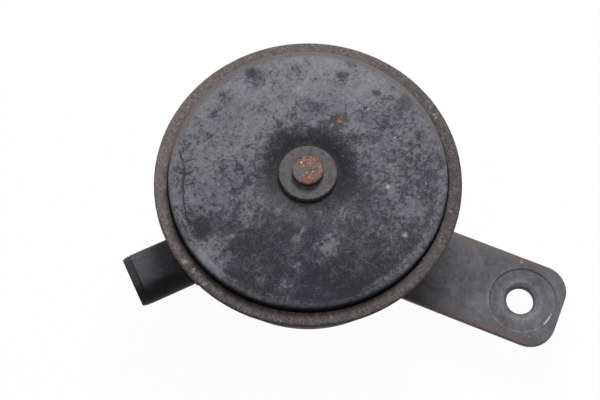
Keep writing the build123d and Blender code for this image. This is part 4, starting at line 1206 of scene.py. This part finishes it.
def strap_material():
    """Dark paint on flat steel, faded in mottles, with thin rust along its edges and a worn bolt seat, with painted
    highlights and a painted glint on the seat's edges and painted shade in its funnel.
    """
    own = colours()
    material, tree, shader, where = new_material("strap_paint", level=0.22)
    along = add(tree, "ShaderNodeMapping", {
        "Vector": where, "Rotation": (0, 0, -STRAP_ANGLE)}, vector_type="POINT").outputs[0]
    across = calc(tree, "ABSOLUTE", parts_of(tree, along)["Y"])
    hole = round_axis(tree, where, (0, 0, 0))
    patch = lay_blotches(tree, where, 160.0, 0.52, 0.10, 7.0)
    grit = lay_grit(tree, where, 1300.0, 0.05, 0.08)
    wear = lay_wear(tree, where, 0.45 * MM, 380.0, 0.8)
    tones = lay_rust(tree, where, 800.0, STRAP_RUST_DARK, STRAP_RUST_BRIGHT)
    broad = cloud(tree, where, 150.0, 7.0, 0.66, 0.4)
    mottle = cloud(tree, where, 700.0, 5.0, 0.68)
    level = total(tree, 0.5, swing(tree, broad, 3.2), swing(tree, mottle, 2.2))
    base = mix(tree, held(tree, level), opaque(own.strap_dark), opaque(own.strap_pale))
    outside = spread(tree, hole["Reach"], 9.6 * MM, 10.6 * MM)
    near_edge = product(tree, spread(tree, across, 7.0 * MM, 13.0 * MM), outside)
    browned = mix(tree, product(tree, near_edge, 0.5), base, STRAP_BROWNED)
    flat = vector_calc(tree, "MULTIPLY", where, (1, 1, 0))
    chips = most(tree, *(
        spread(tree, vector_calc(tree, "DISTANCE", flat, (x * MM, y * MM, 0)), 0.0, FADE * reach * MM, 1.0, 0.0)
        for x, y, reach in STRAP_CHIPS))
    chipped = spread(
        tree, total(tree, chips, swing(tree, cloud(tree, where, 1800.0, 4.0, 0.7), 2.6)), 0.62, 0.80)
    specks = most(tree, product(tree, grit["Specks"], 0.6), product(tree, chipped, 0.6))
    specked = mix(tree, specks, browned, STRAP_CHIP)
    pitted = mix(tree, product(tree, grit["Pits"], 0.4), specked, STRAP_PIT)
    # Painted shade inside the funnel, deepest on one side of the hole.
    funnel_shade = product(
        tree, spread(tree, total(tree, hole["Reach"], swing(tree, mottle, 0.8 * MM)), 4.3 * MM, 5.0 * MM, 0.8, 0.0),
        spread(tree, towards(tree, hole["Turn"], -10), -0.6, 0.6, 0.25, 1.0))
    worn = product(
        tree, spread(tree, hole["Reach"], 4.4 * MM, 4.9 * MM), spread(tree, hole["Reach"], 7.6 * MM, 6.4 * MM),
        spread(tree, mottle, 0.3, 0.65, 0.4, 1.0))
    bare_seat = mix(tree, product(tree, worn, 0.45), pitted, STRAP_SEAT)
    seated = mix(tree, funnel_shade, bare_seat, STRAP_FUNNEL_SHADE)
    # Worn paint and painted highlight along the funnel's rim.
    lip = product(
        tree, near(tree, hole["Reach"], FUNNEL_RIM, 0.1 * MM, 0.5 * MM), spread(tree, mottle, 0.35, 0.6, 0.35, 0.8))
    # Painted highlight along the coined seat's edge, brightest towards one side.
    seat_edge_highlight = product(
        tree, near(tree, hole["Reach"], SEAT_RIM, 0.1 * MM, 0.45 * MM), spread(tree, mottle, 0.40, 0.62, 0.25, 1.0),
        spread(tree, towards(tree, hole["Turn"], -155), -0.5, 0.5, 0.25, 1.0))
    glint = product(
        tree, near(tree, hole["Reach"], SEAT_RIM, 0.1 * MM, 0.3 * MM), spread(tree, mottle, 0.38, 0.55),
        spread(tree, towards(tree, hole["Turn"], -63), 0.970, 0.992))
    lipped = mix(tree, product(tree, lip, 0.6), seated, STRAP_LIP_WEAR_AND_HIGHLIGHT)
    lipped = mix(tree, product(tree, seat_edge_highlight, 0.55), lipped, STRAP_SEAT_EDGE_HIGHLIGHT)
    lipped = mix(tree, product(tree, glint, 0.9), lipped, STRAP_GLINT)
    at_edge = spread(tree, total(tree, across, swing(tree, broad, 1.6 * MM)), 11.8 * MM, 13.0 * MM)
    colour = mix(tree, product(tree, at_edge, patch, 0.7), lipped, tones["Colour"])
    bare = lay_blotches(tree, where, 300.0, 0.5, 0.1, 4.0)
    colour = mix(tree, wear, colour, mix(tree, bare, tones["Colour"], STRAP_BARE))
    roughness = spread(tree, broad, 0.3, 0.8, 0.48, 0.62)
    height = total(tree, product(tree, broad, 0.7), product(tree, grit["Height"], 0.25), product(tree, mottle, 0.4))
    finish_material(tree, shader, colour, roughness, height, 0.08 * MM, 0.6)
    return material


class HORN_OT_strap(bpy.types.Operator):
    """Ease the strap bracket's edges and paint it"""
    bl_idname = "horn.strap"
    bl_label = "Strap bracket"

    def execute(self, context):
        strap = merged_copy("pressed_strap", "mounting_bracket")
        ease_edges(strap, sizes().strap_edge)
        hand_over(strap, strap_material(), "bracket_paint", "horn_body", "mounting_bracket")
        return {"FINISHED"}


# ---------------------------------------------------------------- socket

SOCKET_UP = (0.0, 0.22, 0.975)          # the way that the side with dust and painted sheen faces
SOCKET_FADED = (0.034, 0.0335, 0.037, 1)
SOCKET_DUST_AND_SHEEN = (0.118, 0.115, 0.122, 1)


def socket_material():
    """Soft black plastic, dusty in streaks on the side that faces up, where the pale dust also stands for painted
    sheen; a thin line at the lip's step is left dark as painted shadow.
    """
    own = colours()
    material, tree, shader, where = new_material("soft_black", level=0.04)
    stretched = add(tree, "ShaderNodeMapping", {"Vector": where, "Scale": (0.4, 1, 1)}).outputs[0]
    streak = cloud(tree, stretched, 330.0, 6.0, 0.62, 0.8)
    fine = cloud(tree, where, 2600.0, 3.0)
    up = vector_calc(tree, "DOT_PRODUCT", facing(tree), SOCKET_UP)
    lying = spread(tree, total(tree, up, swing(tree, streak, 0.34)), 0.52, 0.86)
    along = parts_of(tree, where)["X"]
    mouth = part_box("connector_shell")[0].x
    beyond_lip = spread(tree, along, mouth + 1.8 * MM, mouth + 2.6 * MM, 0.35, 1.0)
    near_horn = spread(tree, along, mouth + 9.0 * MM, mouth + 16.0 * MM, 1.0, 0.45)
    curls = spread(tree, cloud(tree, stretched, 420.0, 5.0, 0.62, 0.9), 0.32, 0.66, 0.55, 1.0)
    # Painted shadow: a thin dark line where the lip steps down, kept free of the pale dust.
    groove_shade = product(
        tree, near(tree, along, mouth + 2.2 * MM, 0.1 * MM, 0.35 * MM), spread(tree, streak, 0.35, 0.55))
    strand = away_from(tree, cloud(tree, stretched, 300.0, 5.0, 0.6, 1.2), 0.5)
    curls = product(tree, curls, spread(tree, strand, 0.004, 0.05, 1.25, 0.85))
    # The dust on the side that faces up also stands for painted sheen from the light above.
    dusty = product(tree, lying, curls, beyond_lip, near_horn, inverse(tree, groove_shade))
    base = mix(tree, spread(tree, streak, 0.35, 0.75), opaque(own.rubber), SOCKET_FADED)
    colour = mix(tree, dusty, base, SOCKET_DUST_AND_SHEEN)
    roughness = spread(tree, dusty, 0.0, 1.0, 0.45, 0.7)
    height = total(tree, streak, product(tree, fine, 0.25))
    finish_material(tree, shader, colour, roughness, height, 0.06 * MM, 0.5)
    return material


def plain_material(name, dark, pale, scale, rough_low, rough_high, metallic=0.0, depth=0.04 * MM, level=0.25):
    """A finish of two close tones with a fine relief, for pieces that are small or inside."""
    material, tree, shader, where = new_material(name, level, metallic)
    noise = cloud(tree, where, scale)
    fine = cloud(tree, where, 6 * scale, 2.0, 0.5)
    colour = mix(tree, spread(tree, noise, 0.32, 0.7), opaque(dark), opaque(pale))
    roughness = spread(tree, noise, 0.3, 0.7, rough_low, rough_high)
    height = total(tree, noise, product(tree, fine, 0.4))
    finish_material(tree, shader, colour, roughness, height, depth, 0.5)
    return material


class HORN_OT_socket(bpy.types.Operator):
    """Finish the plug socket, its seal and its blades"""
    bl_idname = "horn.socket"
    bl_label = "Plug socket"

    def execute(self, context):
        paint_nodes(socket_material(), "connector_shell")
        seal = plain_material("seal_rubber", (0.008, 0.008, 0.008), (0.02, 0.02, 0.02), 500, 0.6, 0.8)
        paint_nodes(seal, "connector_seal")
        brass = plain_material(
            "tinned_brass", (0.42, 0.37, 0.27), (0.62, 0.58, 0.48), 300, 0.28, 0.5, metallic=1.0)
        paint_nodes(brass, "terminal_feed", "terminal_return")
        return {"FINISHED"}


# ---------------------------------------------------------------- housing and what it holds

POT_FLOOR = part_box("housing_pot")[0].z + 2.2 * MM      # its flat floor, round the boss that the strap sits on
POT_ROLL = 6.0 * MM                     # height over which the wall rolls in
POT_ROLL_IN = 1.9 * MM                  # how far it has come in at the floor
POT_WALL_FROM = 34.0 * MM               # what is nearer to the axis belongs to the floor
POT_CUTS = 6
POT_DARK = (0.020, 0.020, 0.022, 1)
POT_FADED = (0.060, 0.060, 0.066, 1)
POT_DUST = (0.16, 0.15, 0.14, 1)
POT_RUST = (0.24, 0.11, 0.06, 1)
LEAF_SPAN = 3.4 * MM                    # free length of the leaf spring, from the clamped stack to the contact arm
LEAF_CUTS = 6
ZINC_BLOOM = (0.20, 0.196, 0.185, 1)
ZINC_RUST = (0.30, 0.13, 0.06, 1)


def pot_material():
    """Dull black paint on drawn steel, with rust where it has chipped."""
    own = colours()
    material, tree, shader, where = new_material("pot_paint", level=0.10)
    chips = lay_blotches(tree, where, 190.0, 0.33, 0.05, 7.0)
    wear = lay_wear(tree, where, 0.7 * MM, 350.0, 0.9)
    tones = lay_rust(tree, where, 700.0, opaque(own.rust_dark), POT_RUST)
    dust = place(tree, "Settled dust", {"Vector": where, "Scale": 260.0, "Amount": 0.35})["Mask"]
    grit = lay_grit(tree, where, 1200.0, 0.05, 0.12)
    broad = cloud(tree, where, 220.0, 5.0, 0.6)
    base = mix(tree, spread(tree, broad, 0.3, 0.75), POT_DARK, POT_FADED)
    dusty = mix(tree, dust, base, POT_DUST)
    damage = most(tree, product(tree, chips, 0.75), wear)
    colour = mix(tree, damage, dusty, tones["Colour"])
    roughness = spread(tree, broad, 0.3, 0.8, 0.4, 0.6)
    height = calc(tree, "SUBTRACT", product(tree, grit["Height"], 0.4), product(tree, chips, 0.5))
    finish_material(tree, shader, colour, roughness, height, 0.08 * MM, 0.6)
    return material


def zinc_material(name="dull_zinc", thread_top=None):
    """Dulled zinc plate with white bloom and rust at its edges, threaded below a height where one is asked for."""
    own = colours()
    material, tree, shader, where = new_material(name, level=0.3, metallic=0.55)
    bloom = lay_blotches(tree, where, 500.0, 0.45, 0.12, 6.0)
    spots = lay_blotches(tree, where, 330.0, 0.36, 0.05, 6.0)
    tones = lay_rust(tree, where, 900.0, opaque(own.rust_dark), ZINC_RUST)
    base = mix(tree, bloom, opaque(own.zinc), ZINC_BLOOM)
    colour = mix(tree, product(tree, spots, 0.8), base, tones["Colour"])
    roughness = spread(tree, total(tree, bloom, spots), 0.0, 1.0, 0.45, 0.8)
    height = tones["Height"]
    if thread_top is not None:
        polar = round_axis(tree, where)
        winding = calc(tree, "SUBTRACT", calc(tree, "DIVIDE", polar["Height"], sizes().thread_pitch),
                       calc(tree, "DIVIDE", polar["Turn"], math.tau))
        flank = away_from(tree, calc(tree, "FRACT", winding), 0.5)
        height = total(tree, height, product(
            tree, flank, spread(tree, polar["Height"], thread_top, thread_top - 0.5 * MM, 0.0, 9.0)))
    finish_material(tree, shader, colour, roughness, height, 0.05 * MM, 0.6)
    return material


def draw_in_corner(pot):
    """Roll the pot's wall further in towards its floor, as the drawing die leaves it."""
    levels = [POT_FLOOR + step * POT_ROLL / POT_CUTS for step in range(1, POT_CUTS + 1)]
    cut_across(pot, [(0, 0, level) for level in levels], (0, 0, 1))
    for vertex in pot.data.vertices:
        away = Vector((vertex.co.x - AXIS.x, vertex.co.y - AXIS.y))
        share = in_unit(1 - (vertex.co.z - POT_FLOOR) / POT_ROLL)
        if away.length > POT_WALL_FROM and share > 0:
            moved = away * (1 - POT_ROLL_IN * share ** 2 / away.length)
            vertex.co.x, vertex.co.y = AXIS.x + moved.x, AXIS.y + moved.y


def bend_diaphragm(material):
    """A joined copy of the diaphragm, given its material and standing for its node, tied to no body."""
    piece = merged_copy("flexing_diaphragm", "diaphragm")
    hand_over(piece, material, "spring_steel", None, "diaphragm")
    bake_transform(piece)


def bend_leaf(material):
    """Cut a joined copy of the leaf spring across between the clamped stack and the contact arm that it carries, give
    it its material and let it stand for its node, tied to no body.
    """
    piece = merged_copy("flexing_leaf", "leaf_spring")
    arm_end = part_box("contact_arm")[1].y
    lines = [arm_end + step * LEAF_SPAN / LEAF_CUTS for step in range(LEAF_CUTS + 1)]
    cut_across(piece, [(0, level, 0) for level in lines], (0, 1, 0))
    hand_over(piece, material, "spring_steel", None, "leaf_spring")
    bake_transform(piece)


class HORN_OT_housing(bpy.types.Operator):
    """Finish the pot, the diaphragm and what clamps it"""
    bl_idname = "horn.housing"
    bl_label = "Housing"

    def execute(self, context):
        pot = merged_copy("drawn_pot", "housing_pot")
        draw_in_corner(pot)
        hand_over(pot, pot_material(), "pot_paint", "horn_body", "housing_pot")
        fibre = plain_material("red_fibre", (0.16, 0.07, 0.045), (0.26, 0.13, 0.08), 600, 0.7, 0.85)
        paint_nodes(
            fibre, "flange_gasket", "lower_insulator", "middle_insulator", "upper_insulator", "pusher")
        spring = plain_material(
            "blued_spring_steel", (0.16, 0.16, 0.17), (0.28, 0.27, 0.27), 220, 0.3, 0.5, metallic=0.9)
        paint_nodes(spring, "coil_keeper")
        bend_diaphragm(plain_material(
            "blackened_steel", (0.006, 0.006, 0.006), (0.016, 0.015, 0.014), 300, 0.7, 0.85, level=0.05))
        bend_leaf(spring)
        return {"FINISHED"}


class HORN_OT_fasteners(bpy.types.Operator):
    """Finish the nut, the lock washer, the rivets and the adjusting screw"""
    bl_idname = "horn.fasteners"
    bl_label = "Fasteners"

    def execute(self, context):
        paint_nodes(
            zinc_material(), "mounting_nut", "lock_washer", "screw_bush", "adjusting_screw",
            "bracket_rivets", "breaker_rivets", "arm_rivet", "contact_bracket", "contact_arm", "fixed_arm",
            "spacer_bush", "clamp_washer")
        paint_nodes(zinc_material("threaded_zinc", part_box("mounting_nut")[0].z), "core_stud")
        return {"FINISHED"}


class HORN_OT_magnet(bpy.types.Operator):
    """Finish the coil, its bobbin, the contacts and the inner wires"""
    bl_idname = "horn.magnet"
    bl_label = "Magnet and wiring"

    def execute(self, context):
        copper = plain_material(
            "enamelled_copper", (0.34, 0.12, 0.05), (0.55, 0.24, 0.11), 900, 0.25, 0.4, metallic=0.9)
        paint_nodes(copper, "coil_winding")
        nylon = plain_material("black_nylon", (0.02, 0.019, 0.018), (0.04, 0.038, 0.036), 400, 0.4, 0.55)
        paint_nodes(nylon, "coil_bobbin")
        tungsten = plain_material(
            "contact_tungsten", (0.36, 0.36, 0.37), (0.5, 0.5, 0.5), 700, 0.25, 0.4, metallic=1.0)
        paint_nodes(tungsten, "moving_contact", "fixed_contact")
        sleeve = plain_material("red_sleeve", (0.20, 0.025, 0.02), (0.30, 0.045, 0.035), 500, 0.35, 0.5)
        paint_nodes(sleeve, "coil_wire", "breaker_wire", "return_wire")
        return {"FINISHED"}


# ---------------------------------------------------------------- stage

# Lights, by their place from the middle of the ring's front, and their width.
KEY_LIGHT = (Vector((0.22, 0.30, 0.42)), 0.26)
FILL_LIGHT = (Vector((-0.25, -0.05, 0.60)), 0.5)
FLOOR_SIZE = 6.0
FLOOR_DROP = 0.5 * MM                   # from the lowest point of the horn to the floor
FLOOR_GLOW = 0.965                      # share of the floor, as seen, that is plain white
FLOOR_SEEN = (0.92, 0.92, 0.92, 1)
FLOOR_BOUNCE = (0.35, 0.35, 0.35, 1)
WHITE = (1, 1, 1, 1)
SENSOR = 36.0                           # width of the camera's sensor, in millimetres
CLIP_START = 0.01


def camera_frame(settings):
    """The camera's place and turn, from where it aims and how it looks there."""
    azimuth = settings.camera_azimuth
    level = math.cos(settings.camera_elevation)
    ahead = Vector((
        -math.sin(azimuth) * level, math.cos(azimuth) * level, -math.sin(settings.camera_elevation)))
    aim = Vector((AXIS.x + settings.camera_aim[0], AXIS.y + settings.camera_aim[1], FRONT))
    turn = ahead.to_track_quat("-Z", "Y").to_matrix().to_4x4()
    turn = turn @ Matrix.Rotation(settings.camera_roll, 4, "Z")
    return Matrix.Translation(aim - ahead * settings.camera_distance) @ turn


def add_area_light(name, target, offset, size, power):
    """A round soft light, placed from what it is aimed at."""
    bpy.ops.object.select_all(action="DESELECT")
    bpy.ops.object.light_add(type="AREA", location=target + offset)
    light = bpy.context.object
    light.name = name
    light.data.shape = "DISK"
    light.data.size = size
    light.data.energy = power
    light.rotation_euler = (-offset).to_track_quat("-Z", "Y").to_euler()


def seen_directly(tree):
    """One for what the camera sees, also in a mirror or through glass."""
    path = add(tree, "ShaderNodeLightPath").outputs
    sight = total(tree, path["Is Camera Ray"], path["Is Glossy Ray"])
    return calc(tree, "ADD", sight, path["Is Transmission Ray"], clamp=True)


def floor_material():
    """A white floor that shows a faint shadow and throws little light back."""
    material = bpy.data.materials.new("white_floor")
    tree = empty_tree(material)
    direct = seen_directly(tree)
    tone = mix(tree, direct, FLOOR_BOUNCE, FLOOR_SEEN)
    matt = add(tree, "ShaderNodeBsdfDiffuse", {"Color": tone})
    glow = add(tree, "ShaderNodeEmission", {"Color": WHITE, "Strength": 1.0})
    both = add(tree, "ShaderNodeMixShader", {
        0: product(tree, direct, FLOOR_GLOW), 1: matt.outputs[0], 2: glow.outputs[0]})
    add(tree, "ShaderNodeOutputMaterial", {"Surface": both.outputs[0]})
    return material


def build_world(settings):
    """Even light all round, seen as white."""
    world = bpy.data.worlds.new("even_light")
    bpy.context.scene.world = world
    tree = empty_tree(world)
    strength = add(tree, "ShaderNodeMix", {0: seen_directly(tree), 2: settings.ambient, 3: 1.0}).outputs[0]
    glow = add(tree, "ShaderNodeBackground", {"Color": WHITE, "Strength": strength})
    add(tree, "ShaderNodeOutputWorld", {"Surface": glow.outputs[0]})


class HORN_OT_stage(bpy.types.Operator):
    """Set up the floor, the light and the camera"""
    bl_idname = "horn.stage"
    bl_label = "Stage"

    def execute(self, context):
        settings = context.scene.horn_stage
        middle = Vector((AXIS.x, AXIS.y, FRONT))
        bpy.ops.object.select_all(action="DESELECT")
        bpy.ops.mesh.primitive_plane_add(
            size=FLOOR_SIZE, location=(AXIS.x, AXIS.y, cad_bounds[0].z - FLOOR_DROP))
        floor = context.object
        floor.name = "floor"
        bpy.ops.object.transform_apply(location=True, rotation=True, scale=True)
        floor.data.materials.append(floor_material())
        add_area_light("key_light", middle, *KEY_LIGHT, settings.key_power)
        add_area_light("fill_light", middle, *FILL_LIGHT, settings.fill_power)
        build_world(settings)
        camera_data = bpy.data.cameras.new("camera")
        camera = bpy.data.objects.new("camera", camera_data)
        context.scene.collection.objects.link(camera)
        camera_data.lens = settings.lens
        camera_data.sensor_width = SENSOR
        camera_data.clip_start = CLIP_START
        camera.matrix_world = camera_frame(settings)
        context.scene.camera = camera
        context.scene.view_settings.view_transform = "Standard"
        return {"FINISHED"}


class HORN_PT_panel(bpy.types.Panel):
    """Buttons and settings in the sidebar"""
    bl_idname = "HORN_PT_panel"
    bl_label = "Car horn"
    bl_space_type = "VIEW_3D"
    bl_region_type = "UI"
    bl_category = "Horn"

    def draw(self, context):
        for operator in OPERATORS:
            self.layout.operator(operator.bl_idname)
        for group in (context.scene.horn_sizes, context.scene.horn_colours, context.scene.horn_stage):
            box = self.layout.box()
            for name in group.__annotations__:
                box.prop(group, name)


OPERATORS = (
    HORN_OT_stage, HORN_OT_tone_disc, HORN_OT_crimp_ring, HORN_OT_washer_and_stem, HORN_OT_strap,
    HORN_OT_socket, HORN_OT_housing, HORN_OT_fasteners, HORN_OT_magnet,
)
CLASSES = (HornSizes, HornColours, StageSettings, *OPERATORS, HORN_PT_panel)


def register():
    """Make the settings, the operators and the panel known."""
    for item in CLASSES:
        bpy.utils.register_class(item)
    bpy.types.Scene.horn_sizes = bpy.props.PointerProperty(type=HornSizes)
    bpy.types.Scene.horn_colours = bpy.props.PointerProperty(type=HornColours)
    bpy.types.Scene.horn_stage = bpy.props.PointerProperty(type=StageSettings)


def unregister():
    """Take them away again."""
    for name in ("horn_sizes", "horn_colours", "horn_stage"):
        delattr(bpy.types.Scene, name)
    for item in reversed(CLASSES):
        bpy.utils.unregister_class(item)


def main():
    """Dress the horn and set the stage."""
    register()
    build_groups()
    bpy.ops.horn.stage()
    bpy.ops.horn.tone_disc()
    bpy.ops.horn.crimp_ring()
    bpy.ops.horn.washer_and_stem()
    bpy.ops.horn.strap()
    bpy.ops.horn.socket()
    bpy.ops.horn.housing()
    bpy.ops.horn.fasteners()
    bpy.ops.horn.magnet()


if __name__ == "__main__":
    main()
